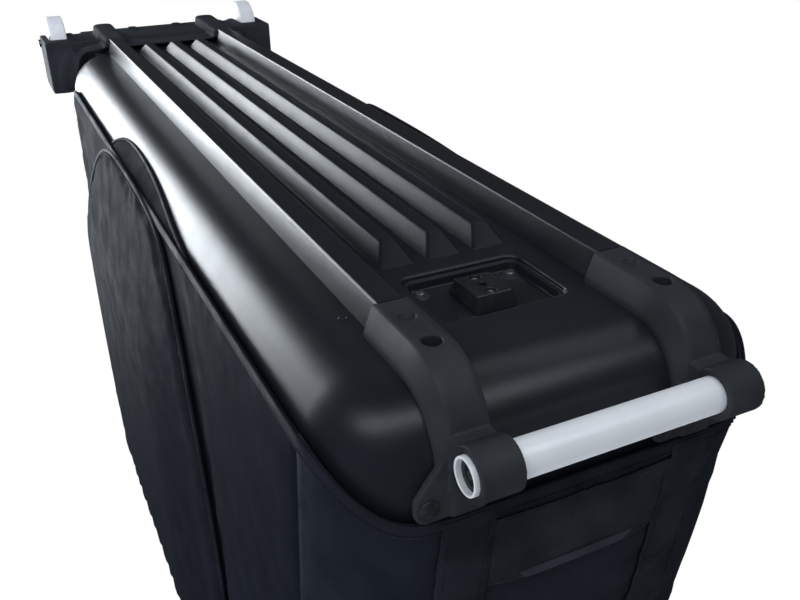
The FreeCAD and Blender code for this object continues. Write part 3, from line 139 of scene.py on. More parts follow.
# place, target, width and height in metres, and watts
LAMPS = {
    "far_side_box": ((-2.7, 1.17, 0.3), (0.2, 0.15, 0.0), 1.15, 2.6, 100),
    "corner_box": ((1.05, 1.23, -1.2), (0.66, 0.14, 0.06), 0.5, 0.5, 3),
    "front_box": ((1.27, 0.05, -1.22), (0.66, 0.05, 0.03), 2.0, 0.34, 6),
    "front_strip": ((0.18, -0.8, -1.27), (0.66, 0.0, 0.03), 1.2, 0.16, 1.2),
    "far_end_box": ((0.6, 0.9, -0.9), (-0.66, 0.1, 0.05), 0.6, 0.6, 0.8),
    "top_box": ((0.2, -0.9, 2.3), (0, 0, 0.4), 1.8, 1.4, 42),
    "window_box": ((0.9, 2.1, 1.2), (0, 0, 0.4), 1.4, 1.4, 26),
}
NOT_MIRRORED = ("top_box", "window_box")
FAR_END_SPREAD = 40

scene.view_settings.view_transform = "Standard"
for name, (place, target, width, height, watts) in LAMPS.items():
    lamp = bpy.data.lights.new(name, "AREA")
    lamp.shape = "RECTANGLE"
    lamp.size, lamp.size_y = width, height
    lamp.energy, lamp.color = watts, LAMP_COLOUR
    box = bpy.data.objects.new(name, lamp)
    scene.collection.objects.link(box)
    box.location = place
    box.rotation_mode = "QUATERNION"
    box.rotation_quaternion = (Vector(target) - Vector(place)).to_track_quat("-Z", "Y")
    box.visible_glossy = name not in NOT_MIRRORED
bpy.data.lights["far_end_box"].spread = math.radians(FAR_END_SPREAD)
print("lamps:", len(LAMPS))

# %% [markdown]
# The white background is only what the camera and mirrors see of the world; a dimmer fill lights
# the case. Black plastic would mirror the white too, so a photographer hangs grey cards round the
# set and leaves one side open: here they are a darker part of the world, seen in reflections
# alone.

# %% World
OPEN_SIDE = Vector((-0.95, 0.30, 0.0)).normalized()
OPENING, CARD_EDGE, CARD_DARK = 0.975, 28.0, 0.96
FILL_COLOUR, FILL_STRENGTH = (0.86, 0.92, 1.0, 1), 0.5

world = bpy.data.worlds.new("studio")
scene.world = world
world.use_nodes = True
world.node_tree.nodes.clear()
sky = Nodes(world.node_tree)
paths = sky.add("LightPath").outputs
seen = sky.maths("MAXIMUM", paths["Is Camera Ray"], paths["Is Transmission Ray"], clamp=True)
seen = sky.maths("MAXIMUM", seen, paths["Is Glossy Ray"], clamp=True)
towards = sky.add("VectorMath", {0: sky.add("TexCoord").outputs["Generated"], 1: OPEN_SIDE},
                  operation="DOT_PRODUCT").outputs["Value"]
card = sky.maths("SUBTRACT", OPENING, towards, clamp=True)
card = sky.maths("MULTIPLY", card, CARD_EDGE, clamp=True)
card = sky.maths("MULTIPLY", card, paths["Is Glossy Ray"], clamp=True)
card = sky.maths("MULTIPLY", card, CARD_DARK, clamp=True)
white = sky.add("Background", {"Color": (1, 1, 1, 1),
                               "Strength": sky.maths("SUBTRACT", 1.0, card, clamp=True)})
fill = sky.add("Background", {"Color": FILL_COLOUR, "Strength": FILL_STRENGTH})
mixed = sky.add("MixShader", {"Fac": seen, 1: fill.outputs[0], 2: white.outputs[0]})
sky.add("OutputWorld", {"Surface": mixed.outputs[0]})
print("world nodes:", len(sky.tree.nodes))

# %% [markdown]
# ## Finishes
# Each finish has a colour with slow variation, roughness with wear, and a bump at the true scale
# of the grain. Noise is read in the piece's own space, so that its scale is in spots per metre;
# weaves follow the drawn coordinates of a piece instead.

# %% Finish helper
FINISHES = {}


class Finish(Nodes):
    """A material with one principled shader, listed by its name."""

    def __init__(self, name, colour, rough, **settings):
        self.material = FINISHES[name] = bpy.data.materials.new(name)
        self.material.use_nodes = True
        super().__init__(self.material.node_tree)
        self.shader = self.tree.nodes["Principled BSDF"]
        self.put(self.shader, {"Base Color": (*colour, 1), "Roughness": rough, **settings})

    def spot(self, scale, detail=2.0, rough=0.5, stretch=None):
        where = self.add("TexCoord").outputs["Object"]
        if stretch:
            where = self.add("Mapping", {"Vector": where, "Scale": stretch}).outputs[0]
        return self.add("TexNoise", {"Vector": where, "Scale": scale, "Detail": detail,
                                     "Roughness": rough}).outputs["Fac"]

    def spread(self, value, low, high, start=0.3, end=0.7):
        return self.add("MapRange", {"Value": value, "From Min": start, "From Max": end,
                                     "To Min": low, "To Max": high}).outputs[0]

    def tint(self, value, dark, light):
        ramp = self.add("ValToRGB", {"Fac": value})
        for stop, place, colour in zip(ramp.color_ramp.elements, (0.3, 0.7), (dark, light)):
            stop.position, stop.color = place, (*colour, 1)
        return ramp.outputs[0]

    def bump(self, height, depth, strength=1.0, over=None):
        values = {"Height": height, "Distance": depth, "Strength": strength}
        if over:
            values["Normal"] = over
        return self.add("Bump", values).outputs[0]

    def weave(self, along, across):
        """Product of two sines of the drawn coordinates, with their pitches in metres."""
        drawn = self.add("UVMap", uv_map="drawn").outputs[0]
        parts = self.add("SeparateXYZ", {"Vector": drawn}).outputs
        turns = [self.maths("MULTIPLY", parts[axis], 2 * math.pi / pitch)
                 for axis, pitch in (("X", along), ("Y", across))]
        return self.maths("MULTIPLY", *(self.maths("SINE", turn) for turn in turns))

    def looks(self, colour, rough, normal=None):
        values = {"Base Color": colour, "Roughness": rough}
        if normal:
            values["Normal"] = normal
        self.put(self.shader, values)


def mottled(name, colour, rough, tones, gloss, relief=None, **settings):
    """A finish of three noises: tones (noise, dark, light), gloss (noise, low, high) and relief
    (noise, depth, strength)."""
    made = Finish(name, colour, rough, **settings)
    made.looks(made.tint(made.spot(*tones[0]), *tones[1:]),
               made.spread(made.spot(*gloss[0]), *gloss[1:]),
               relief and made.bump(made.spot(*relief[0]), *relief[1:]))


print("finish helper ready")

# %% [markdown]
# The tray is moulded from black plastic with a fine woven grain, about a millimetre from dot to
# dot. The pattern follows drawn coordinates that run over the rounded edges without a break, so
# the dots keep their size there. The brackets and the wheel carrier have the finer, irregular
# grain of a spark-eroded mould, which is plain noise, and are a little paler where edges rub.

# %% Moulded plastics
DOT_PITCH, DOT_DEPTH = 0.00125, 0.00002
GRAIN_DEPTH, RUBBED_FROM, RUBBED_TO, SCUFF = 0.00012, 0.54, 0.62, 0.35


def dotted(name, specular):
    shell = Finish(name, (0.010, 0.012, 0.017), 0.32, **{"Specular IOR Level": specular})
    shell.looks(shell.tint(shell.spot(9, 4), (0.008, 0.010, 0.014), (0.013, 0.015, 0.021)),
                shell.spread(shell.spot(38, 3), 0.3, 0.345),
                shell.bump(shell.weave(DOT_PITCH, DOT_PITCH), DOT_DEPTH))


def eroded(name, dark, light, rough, specular):
    grain = Finish(name, light, rough, **{"Specular IOR Level": specular})
    edges = grain.add("NewGeometry").outputs["Pointiness"]
    rubbed = grain.spread(edges, 0.0, 1.0, RUBBED_FROM, RUBBED_TO)
    scuffed = grain.maths("MULTIPLY", rubbed, grain.spread(grain.spot(120, 3), 0.0, 1.0))
    patches = grain.maths("ADD", grain.spot(22, 3), grain.maths("MULTIPLY", scuffed, SCUFF))
    grain.looks(grain.tint(patches, dark, light),
                grain.spread(grain.spot(60, 3), rough - 0.06, rough + 0.06),
                grain.bump(grain.spot(1500, 2), GRAIN_DEPTH, 0.6))


dotted("shell_grain", 0.62)
dotted("rib_grain", 0.34)
eroded("bracket_grain", (0.020, 0.022, 0.026), (0.034, 0.037, 0.043), 0.56, 0.3)
eroded("carrier_grain", (0.018, 0.020, 0.024), (0.030, 0.033, 0.039), 0.7, 0.05)
SCRATCHES = (300, 2, 0.5, (1, 0.06, 1))
mottled("dock_gloss", (0.006, 0.006, 0.008), 0.14,
        ((90, 3), (0.012, 0.013, 0.016), (0.022, 0.023, 0.027)),
        (SCRATCHES, 0.10, 0.22), ((240, 2), 0.00004, 0.5))
mottled("rivet_cap", (0.02, 0.02, 0.024), 0.3,
        ((200, 3), (0.014, 0.014, 0.018), (0.03, 0.03, 0.034)), ((500, 2), 0.24, 0.38))
print("plastics:", sorted(FINISHES))

# %% [markdown]
# The pull bar is satin anodised aluminium: its fine drawing lines run along the tube. Screws and
# axles are zinc plated. The wheels are cast in a cloudy white plastic that lets some light in, so
# they get a little scattering under the surface.

# %% Metals and wheel plastic
DRAWN_LINES = (900, 2, 0.5, (1, 0.02, 1))
mottled("satin_aluminium", (0.84, 0.85, 0.88), 0.45,
        ((30, 3), (0.9, 0.91, 0.93), (0.96, 0.97, 0.98)),
        (DRAWN_LINES, 0.4, 0.5), (DRAWN_LINES, 0.00004, 0.5), Metallic=0.2)
mottled("zinc_plate", (0.5, 0.5, 0.52), 0.34,
        ((400, 3), (0.36, 0.36, 0.38), (0.6, 0.6, 0.61)), ((700, 2), 0.26, 0.46), Metallic=1.0)
mottled("black_lacquer", (0.02, 0.02, 0.022), 0.32,
        ((600, 3), (0.014, 0.014, 0.016), (0.05, 0.05, 0.054)), ((900, 2), 0.24, 0.42),
        Metallic=0.4)
mottled("cast_white", (0.9, 0.9, 0.91), 0.42,
        ((70, 4), (0.74, 0.74, 0.77), (0.82, 0.82, 0.84)), ((240, 3), 0.34, 0.52),
        ((420, 2), 0.0001, 0.4),
        **{"Subsurface Weight": 0.7, "Subsurface Radius": (0.03, 0.03, 0.032)})
print("finishes so far:", len(FINISHES))

# %% [markdown]
# ## Drawing helper
# Most rigid pieces are stacks of rings: a rounded rectangle or a circle that changes size with
# height. One small class collects points, faces and drawn coordinates (the unrolled surface in
# metres, for grain and weave), and turns them into an object that rides on a body.

# %% Shape helper


def gaps(here, there):
    return [(a - b).length for a, b in zip(here, there)]


class Shape:
    """Points in millimetres in the level drawing, with faces and unrolled coordinates."""

    def __init__(self):
        self.points, self.faces, self.drawn = [], [], []

    def face(self, corners, drawn):
        self.faces.append(corners)
        self.drawn.extend(drawn)

    def ring(self, points):
        start = len(self.points)
        self.points.extend(Vector(p) for p in points)
        return list(range(start, start + len(points)))

    def loft(self, rings, closed=True, drawn=None):
        """Bands of faces between rings that have the same number of points."""
        rings = [[Vector(p) for p in ring] for ring in rings]
        made = [self.ring(ring) for ring in rings]
        count = len(rings[0])
        if drawn is None:
            longest = max(rings, key=lambda ring: sum(gaps(ring, ring[1:])))
            run = np.cumsum([0, *gaps(longest, longest[1:] + longest[:1])])
            rise = np.cumsum([0, *(max(gaps(a, b)) for a, b in zip(rings, rings[1:]))])
            drawn = [[(along, up) for along in run] for up in rise]
        else:
            drawn = [[*row, row[0]] for row in drawn]
        for i in range(len(made) - 1):
            for j in range(count if closed else count - 1):
                k = (j + 1) % count
                self.face((made[i][j], made[i][k], made[i + 1][k], made[i + 1][j]),
                          (drawn[i][j], drawn[i][j + 1], drawn[i + 1][j + 1], drawn[i + 1][j]))
        return made

    def cap(self, ring, flip=False):
        """Close a ring with one face, unrolled on its two longer axes."""
        corners = list(reversed(ring)) if flip else list(ring)
        flat = [self.points[i] for i in corners]
        spread = [max(p[a] for p in flat) - min(p[a] for p in flat) for a in range(3)]
        thin = spread.index(min(spread))
        u, v = [a for a in range(3) if a != thin]
        self.face(tuple(corners), [(p[u], p[v]) for p in flat])

    def build(self, name, finish, body="base", stands_for=(), slot=None, sharp=None):
        mesh = bpy.data.meshes.new(name)
        mesh.from_pydata([STANCE @ p for p in self.points], [], self.faces)
        layer = mesh.uv_layers.new(name="drawn")
        layer.data.foreach_set("uv", [c * MM for uv in self.drawn for c in uv])
        mesh.polygons.foreach_set("use_smooth", [True] * len(mesh.polygons))
        mesh.materials.append(FINISHES[finish])
        obj = bpy.data.objects.new(name, mesh)
        scene.collection.objects.link(obj)
        mesh.set_sharp_from_angle(angle=math.radians(sharp))
        return adopt(obj, body, stands_for)


def adopt(obj, body, stands_for=()):
    """Hang a finished object on a body and hide the solids it stands for."""
    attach(obj, body)
    if stands_for:
        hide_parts(*stands_for)
    return obj


def arc(start, end, steps):
    return [math.radians(start + (end - start) * i / steps) for i in range(steps + 1)]


def round_rect(centre, half, front_radius, steps, rear_radius=None):
    """A rounded rectangle in plan, with its outward directions."""
    points, outward = [], []
    for quarter, (sx, sy) in enumerate(((1, 1), (-1, 1), (-1, -1), (1, -1))):
        radius = front_radius if sx > 0 or rear_radius is None else rear_radius
        cx = centre[0] + sx * (half[0] - radius)
        cy = centre[1] + sy * (half[1] - radius)
        for angle in arc(90 * quarter, 90 * quarter + 90, steps):
            way = (math.cos(angle), math.sin(angle))
            points.append((cx + radius * way[0], cy + radius * way[1]))
            outward.append(way)
    return points, outward


print("drawing helpers ready")

# %% [markdown]
# ## Base shell
# The tray is one moulding: a flat floor, a generous round up to the walls, and a stepped recess
# for the dock block. A CAD fillet would do, but rings keep the grain's coordinates in hand: each
# ring is the floor's outline pushed outward, so the unrolled surface is the outline plus the
# distance travelled over the round.

# %% Base shell
SHELL_FRONT, SHELL_REAR, SHELL_HALF = 46, -1262, 180
FLOOR, RIM, WALL = 24.3, 118, 3
EDGE, CORNER, REAR_CORNER, CORNER_STEPS = 50, 75, 150, 14
RECESS_X, RECESS_HALF, RECESS_CORNER = -94, (40, 55), 11
LIP, DEEP, LEDGE, LEDGE_DEPTH = 3.0, 12, 4, 4.5
ROUND_MIDDLE = FLOOR + EDGE


def shell_plan(inset):
    half = ((SHELL_FRONT - SHELL_REAR) / 2 - inset, SHELL_HALF - inset)
    return round_rect(((SHELL_FRONT + SHELL_REAR) / 2, 0), half, CORNER - inset, CORNER_STEPS,
                      REAR_CORNER - inset)


def recess_plan(grow):
    half = (RECESS_HALF[0] + grow, RECESS_HALF[1] + grow)
    return round_rect((RECESS_X, 0), half, max(RECESS_CORNER + grow, 1.5), CORNER_STEPS)


def level_ring(plan, z):
    return [(x, y, z) for x, y in plan[0]]


def unrolled(plan, distance):
    return [(x + n[0] * distance, y + n[1] * distance) for (x, y), n in zip(*plan)]


ledge_z, deep_z, inner_edge = FLOOR + LEDGE_DEPTH, FLOOR + DEEP, EDGE - WALL
recess_profile = [(LIP + 2, FLOOR), (LIP, FLOOR)]
recess_profile += [(LIP - LIP * math.sin(a), FLOOR + LIP - LIP * math.cos(a))
                   for a in arc(15, 90, 5)]
recess_profile += [(0, ledge_z - 0.8), (-0.3, ledge_z - 0.2), (-1.0, ledge_z),
                   (-LEDGE + 1.2, ledge_z), (-LEDGE + 0.3, ledge_z + 0.3), (-LEDGE, ledge_z + 1.2),
                   (-LEDGE, deep_z - 1.6), (-LEDGE - 0.5, deep_z - 0.5), (-LEDGE - 1.6, deep_z)]
edge_profile = [(EDGE + 2, FLOOR)]
edge_profile += [(EDGE - EDGE * math.cos(a), ROUND_MIDDLE - EDGE * math.sin(a))
                 for a in arc(90, 0, 16)]
edge_profile += [(0, ROUND_MIDDLE + 12), (0, RIM - 1), (0.4, RIM - 0.2), (1.2, RIM),
                 (WALL - 1.2, RIM), (WALL - 0.4, RIM - 0.2), (WALL, RIM - 1)]
edge_profile += [(WALL + inner_edge * (1 - math.cos(a)), ROUND_MIDDLE - inner_edge * math.sin(a))
                 for a in arc(0, 90, 8)]

rings, drawn = [], []
for profile, plan_at, way in ((recess_profile, recess_plan, -1), (edge_profile, shell_plan, 1)):
    start, distance = plan_at(profile[0][0]), 0
    for (a, za), (b, zb) in zip([profile[0], *profile], profile):
        distance += way * math.hypot(b - a, zb - za)
        rings.append(level_ring(plan_at(b), zb))
        drawn.append(unrolled(start, distance))
    if way < 0:
        rings.reverse()
        drawn.reverse()
for z, distance in ((FLOOR + WALL, 0), (deep_z + WALL, -DEEP)):
    rings.append(level_ring(recess_plan(WALL), z))
    drawn.append(unrolled(recess_plan(LIP + 2), distance))
tray = Shape()
made = tray.loft(rings, drawn=drawn)
tray.cap(made[0], flip=True)
tray.cap(made[-1])
tray.build("base_shell_tray", "shell_grain", stands_for=["base_shell"], slot="shell_plastic",
           sharp=50)
print("tray:", len(tray.faces), "faces")

# %% [markdown]
# Three ribs stiffen the floor between the rails. Their sides and ends slope, their edges are soft
# and a small fillet joins them to the floor. A stack of rounded rectangles gives all of that at
# once: the side's inset is a rounded profile, and the ends use the same profile, stretched.

# %% Ribs
RIB_FRONT, RIB_REAR, RIB_PITCH, RIB_HEIGHT = -157, -1158, 44.2, 15.8
RIB_FOOT, RIB_CROWN, RIB_RUN = 32.5, 13.6, 18.6
RIB_FILLETS, RIB_CORNER, RIB_FLARE = (2.5, 4.0), 3.0, 2.5


def rounded_line(corners, radii, steps=5):
    """A polyline whose inner corners are rounded."""
    corners = [Vector(c) for c in corners]
    path = [corners[0]]
    for before, corner, after, radius in zip(corners, corners[1:], corners[2:], radii):
        a = (before - corner).normalized()
        b = (after - corner).normalized()
        reach = radius / math.tan(a.angle(b) / 2)
        for t in (i / steps for i in range(steps + 1)):
            path.append((1 - t) ** 2 * (corner + a * reach) + 2 * t * (1 - t) * corner
                        + t ** 2 * (corner + b * reach))
    return [*path, corners[-1]]


inset = (RIB_FOOT - RIB_CROWN) / 2
stretch = 2 * RIB_RUN / (RIB_FOOT - RIB_CROWN)
half_long = (RIB_FRONT - RIB_REAR) / 2
crown_z = FLOOR - RIB_HEIGHT
rib_profile = rounded_line([(-RIB_FLARE, FLOOR + 0.3), (0, FLOOR), (inset, crown_z),
                            (inset + 4, crown_z)], RIB_FILLETS)
ribs = Shape()
for place in (-1, 0, 1):
    centre = ((RIB_FRONT + RIB_REAR) / 2, place * RIB_PITCH)
    rings = []
    for step, z in rib_profile:
        over = max(step - inset, 0)
        half = (half_long - min(step, inset) * stretch - over, RIB_FOOT / 2 - step)
        plan = round_rect(centre, half, max(RIB_CORNER - over, 0.6), 5)
        rings.append(level_ring(plan, z)[::-1])
    ribs.cap(ribs.loft(rings)[-1])
ribs.build("base_shell_ribs", "rib_grain", stands_for=["base_shell"], slot="shell_plastic",
           sharp=60)
print("ribs:", len(ribs.faces), "faces")

# %% [markdown]
# The skid rails are straight extrusions: a tapered bar with a flat running face. The profile is
# drawn once with rounded edges and pulled along the case.

# %% Skid rails
RAIL_Y, RAIL_CROWN, RAIL_FOOT, RAIL_HEIGHT, RAIL_EDGE = 95, 21, 31, 24, 3.2
RAIL_FRONT, RAIL_REAR = -62.3, -1165.7


def pulled(shape, profile, start, end, middle):
    """A closed profile in (y, z) pulled along X."""
    count = len(profile)
    run = np.cumsum([0, *(math.dist(profile[j], profile[(j + 1) % count]) for j in range(count))])
    rear, front = (shape.ring([(x, middle + y, z) for y, z in profile]) for x in (start, end))
    for j in range(count):
        k = (j + 1) % count
        shape.face((rear[j], rear[k], front[k], front[j]),
                   ((start, run[j]), (start, run[j + 1]), (end, run[j + 1]), (end, run[j])))
    shape.cap(rear, flip=True)
    shape.cap(front)


half_rail = [(RAIL_FOOT / 2, RAIL_HEIGHT), (RAIL_CROWN / 2, 0), (0, 0)]
half_rail = [tuple(p) for p in rounded_line(half_rail, [RAIL_EDGE], 6)[:-1]]
rail_profile = half_rail + [(-y, z) for y, z in reversed(half_rail)]
for side, sign in SIDES:
    rail = Shape()
    pulled(rail, rail_profile, RAIL_REAR, RAIL_FRONT, sign * RAIL_Y)
    rail.build(f"skid_rail_{side}_bar", "shell_grain", stands_for=[f"skid_rail_{side}"],
               slot="shell_plastic", sharp=40)
print("rails:", len(SIDES))

# %% [markdown]
# The brackets and the wheel carrier are thick mouldings whose parts run into each other with soft
# fillets. Filleting every edge by hand is slow. A voxel remesh of the solid gives one even skin,
# and a few passes of smoothing then round every edge and every inner corner alike, as a mould
# does.

# %% Moulded pieces
WELD_GAP = 0.00002


def moulded(node, voxel, passes, finish, body="base", redrawn=None):
    """A CAD solid with one even skin and softened edges; redrawn may move its points first."""
    obj = bpy.data.objects.new(node + "_moulding", frame["nodes"][node].data.copy())
    scene.collection.objects.link(obj)
    if redrawn:
        level = STANCE.inverted()
        for vertex in obj.data.vertices:
            vertex.co = STANCE @ redrawn(level @ vertex.co)
    obj.modifiers.new("weld", "WELD").merge_threshold = WELD_GAP
    skin = obj.modifiers.new("skin", "REMESH")
    skin.mode = "VOXEL"
    skin.voxel_size = voxel * MM
    skin.use_smooth_shade = True
    soft = obj.modifiers.new("soft", "SMOOTH")
    soft.factor, soft.iterations = 0.5, passes
    bpy.context.view_layer.update()
    shaped = obj.evaluated_get(bpy.context.evaluated_depsgraph_get())
    mesh = bpy.data.meshes.new_from_object(shaped)
    obj.modifiers.clear()
    obj.data = mesh
    mesh.materials.clear()
    mesh.materials.append(FINISHES[finish])
    mesh.polygons.foreach_set("material_index", [0] * len(mesh.polygons))
    mesh.polygons.foreach_set("use_smooth", [True] * len(mesh.polygons))
    print(obj.name, len(mesh.polygons), "faces")
    return adopt(obj, body, [node])


for side, sign in SIDES:
    moulded(f"front_bracket_{side}", 1.1, 6, "bracket_grain")
moulded("dock_block", 0.5, 3, "dock_gloss")

# %% [markdown]
# The tray's rear corners are drawn in, so beside them the carrier's lip is drawn back to the front
# face of its ears. Moving the lip's points before the remesh is enough; the new skin closes over
# it.

# %% Wheel carrier
LIP_X, EAR_DEPTH, LIP_FROM_Y, EAR_Y, EAR_RUN = -1195, 45, 120, 138, 22


def lip_drawn_back(point):
    beside = min(max((abs(point.y) - EAR_Y) / EAR_RUN, 0), 1)
    limit = LIP_X - EAR_DEPTH * beside
    if abs(point.y) > LIP_FROM_Y and point.x > limit:
        point.x = limit + 0.02 * (point.x - limit)
    return point


moulded("wheel_carrier", 2.0, 12, "carrier_grain", redrawn=lip_drawn_back)

# %% [markdown]
# Each bracket has sloping flanks that run on from the rail's sides, over the bend and down to the
# foot. They are strips between a line on the tray and a line on the bar's outer face.

# %% Bracket flanks
BEND, BEND_X, FLANK_STEP = 54, -4, 5.6
along = [((x, FLOOR), (x, 0.0)) for x in (-62, -50, -38, -26, -14, BEND_X)]
along += [((BEND_X + EDGE * math.sin(a), ROUND_MIDDLE - EDGE * math.cos(a)),
           (BEND * math.sin(a), BEND - BEND * math.cos(a))) for a in arc(6, 90, 14)]
along += [((SHELL_FRONT, ROUND_MIDDLE + rise), (BEND, BEND + 1.45 * rise)) for rise in (6, 12, 18)]


def flank_row(on_tray, on_bar, middle, way):
    """Points from the tray up to the bar: a small upright step, the slope, and a soft edge."""
    low, high = Vector((on_tray[0], 0, on_tray[1])), Vector((on_bar[0], 0, on_bar[1]))
    step = min(FLANK_STEP / (high - low).length, 0.6)
    section = [(21.3, 0.0), (21.4, 0.6 * step), (21.0, step), (20.2, step + 0.08), (14.6, 0.93),
               (13.4, 0.985), (11, 1.0)]
    points = [low.lerp(high, share) for out, share in section]
    return [(p.x, middle + way * out, p.z) for p, (out, share) in zip(points, section)]


for side, sign in SIDES:
    flanks = Shape()
    for way in (1, -1):
        rows = list(zip(*(flank_row(*lines, sign * RAIL_Y, way) for lines in along)))
        flanks.loft([row[::way] for row in rows], closed=False)
    flanks.build(f"front_bracket_{side}_flanks", "bracket_grain", slot="bracket_plastic", sharp=60)
print("bracket flanks:", len(SIDES))

# %% [markdown]
# ## Pull bar
# A plain tube held by both loops, with a dark plug a little inside each end. A lathe is the
# natural way: a profile of radius and place along the axis, turned round it.

# %% Lathe and pull bar
TUBE_X, TUBE_Z, TUBE_RADIUS, TUBE_WALL, TUBE_HALF = 75.5, 51, 13, 1.8, 113
PLUG_DEPTH = 4


def lathe(shape, profile, centre, axis, segments, closed=False):
    """Turn a profile of (radius, place along the axis) round an axis through a centre."""
    rings = []
    for radius, along in profile:
        ring = []
        for i in range(segments):
            a = 2 * math.pi * i / segments
            c, s = radius * math.cos(a), radius * math.sin(a)
            offset = {"X": (along, c, s), "Y": (s, along, c), "Z": (c, s, along)}[axis]
            ring.append(Vector(centre) + Vector(offset))
        rings.append(ring)
    shape.loft(rings + rings[:1] if closed else rings)


def there_and_back(profile):
    """A profile and its mirror image across the middle of the axis."""
    return profile + [(r, -y) for r, y in reversed(profile)]


tube, plugs = Shape(), Shape()
inner = TUBE_RADIUS - TUBE_WALL
tube_end = [(inner, 0.5), (inner + 0.4, 0), (TUBE_RADIUS - 0.5, 0), (TUBE_RADIUS - 0.1, 0.3),
            (TUBE_RADIUS, 1)]
tube_profile = there_and_back([(r, y - TUBE_HALF) for r, y in tube_end])
lathe(tube, tube_profile, (TUBE_X, 0, TUBE_Z), "Y", 64, closed=True)
tube.build("handle_tube_bar", "satin_aluminium", stands_for=["handle_tube"], slot="bar_aluminium",
           sharp=35)
plug = [(0.01, 0), (3.2, 0), (3.5, 0.4), (3.6, 3), (6.4, 3), (6.7, 2.6), (6.9, 0.4), (7.3, 0),
        (10.4, 0), (11.1, 0.7), (11.1, 12)]
for sign in (1, -1):
    profile = [(r, sign * (TUBE_HALF - PLUG_DEPTH - y)) for r, y in plug]
    lathe(plugs, profile[::sign], (TUBE_X, 0, TUBE_Z), "Y", 40)
plugs.build("tube_end_plugs_pair", "bracket_grain", stands_for=["tube_end_plugs"],
            slot="bracket_plastic", sharp=40)
print("pull bar:", len(tube.faces) + len(plugs.faces), "faces")

# %% [markdown]
# ## Cloth finishes
# The bag is coated polyester: a fine weave under a thin film that gives it a soft, uneven sheen.
# The weave follows the drawn coordinates of each panel, so it runs with the cut of the cloth. The
# webbing has coarse ribs across it, the rough panel is a heavy basket weave. Foam and glass fibre
# for the inside are noises alone.

# %% Cloth finishes


def woven(name, dark, light, pitch, depth, rough, crumple, specular=0.06):
    """Cloth with a weave at the given pitch (metres), slow mottling and small crumples."""
    cloth = Finish(name, dark, rough, **{"Specular IOR Level": specular})
    threads = cloth.bump(cloth.weave(*pitch), depth, 0.8)
    dents = cloth.maths("ADD", cloth.spot(17, 3), cloth.maths("MULTIPLY", cloth.spot(55, 2), 0.3))
    cloth.looks(cloth.tint(cloth.spot(24, 4), dark, light),
                cloth.spread(cloth.spot(31, 3), rough - 0.08, rough + 0.1),
                cloth.bump(dents, crumple, 0.6, threads))


woven("bag_cloth", (0.0115, 0.0138, 0.0198), (0.0165, 0.0195, 0.027),
      (0.0009, 0.0009), 0.00006, 0.6, 0.003)
# The side walls, pockets and laps use the same cloth as the bag, painted darker: the darker colour
# is painted shade on the sides. Its specular level is lower too.
woven("side_cloth_painted_shade", (0.0076, 0.0091, 0.0136), (0.0112, 0.013, 0.0187),
      (0.0009, 0.0009), 0.00006, 0.7, 0.003, 0.012)
woven("strap_webbing", (0.011, 0.012, 0.018), (0.021, 0.023, 0.031),
      (0.0024, 0.0016), 0.0002, 0.62, 0.0004)
woven("hem_tape", (0.010, 0.011, 0.016), (0.019, 0.021, 0.029),
      (0.0012, 0.0012), 0.0001, 0.6, 0.0005)
woven("basket_cloth", (0.013, 0.014, 0.020), (0.025, 0.027, 0.035),
      (0.0026, 0.0026), 0.0003, 0.66, 0.0008)
woven("zip_cloth", (0.008, 0.009, 0.013), (0.016, 0.017, 0.023),
      (0.0008, 0.0014), 0.0001, 0.6, 0.0003)
woven("grey_tab", (0.022, 0.024, 0.031), (0.04, 0.043, 0.053),
      (0.0012, 0.0012), 0.0001, 0.6, 0.0003)
woven("sewing_thread", (0.014, 0.015, 0.020), (0.028, 0.030, 0.038),
      (0.0006, 0.0009), 0.0001, 0.5, 0.0002)

CELLS, FIBRES = (900, 2), (700, 3, 0.6, (1, 1, 0.02))
mottled("grey_foam", (0.09, 0.09, 0.095), 0.85,
        ((140, 4), (0.065, 0.065, 0.07), (0.115, 0.115, 0.12)),
        (CELLS, 0.78, 0.95), (CELLS, 0.0003, 0.7))
mottled("glass_fibre", (0.5, 0.5, 0.46), 0.4,
        (FIBRES, (0.40, 0.40, 0.36), (0.62, 0.62, 0.57)), (FIBRES, 0.3, 0.5))
print("finishes:", len(FINISHES))

# %% [markdown]
# ## Cloth helpers
# A panel is a grid of points on its outside. The inside lies one thickness behind it and a rounded
# rim joins the two, so that a cut edge never looks like paper.

# %% Sheets


def grid(rows, columns, place):
    """Rows of points; place gets the shares up and across, both from 0 to 1."""
    return [[place(i / (rows - 1), j / (columns - 1)) for j in range(columns)]
            for i in range(rows)]


def travelled(outside, axis):
    """Distance over a grid of points along one of its axes."""
    steps = np.linalg.norm(np.diff(outside, axis=axis), axis=2)
    return np.cumsum(np.insert(steps, 0, 0, axis=axis), axis=axis)


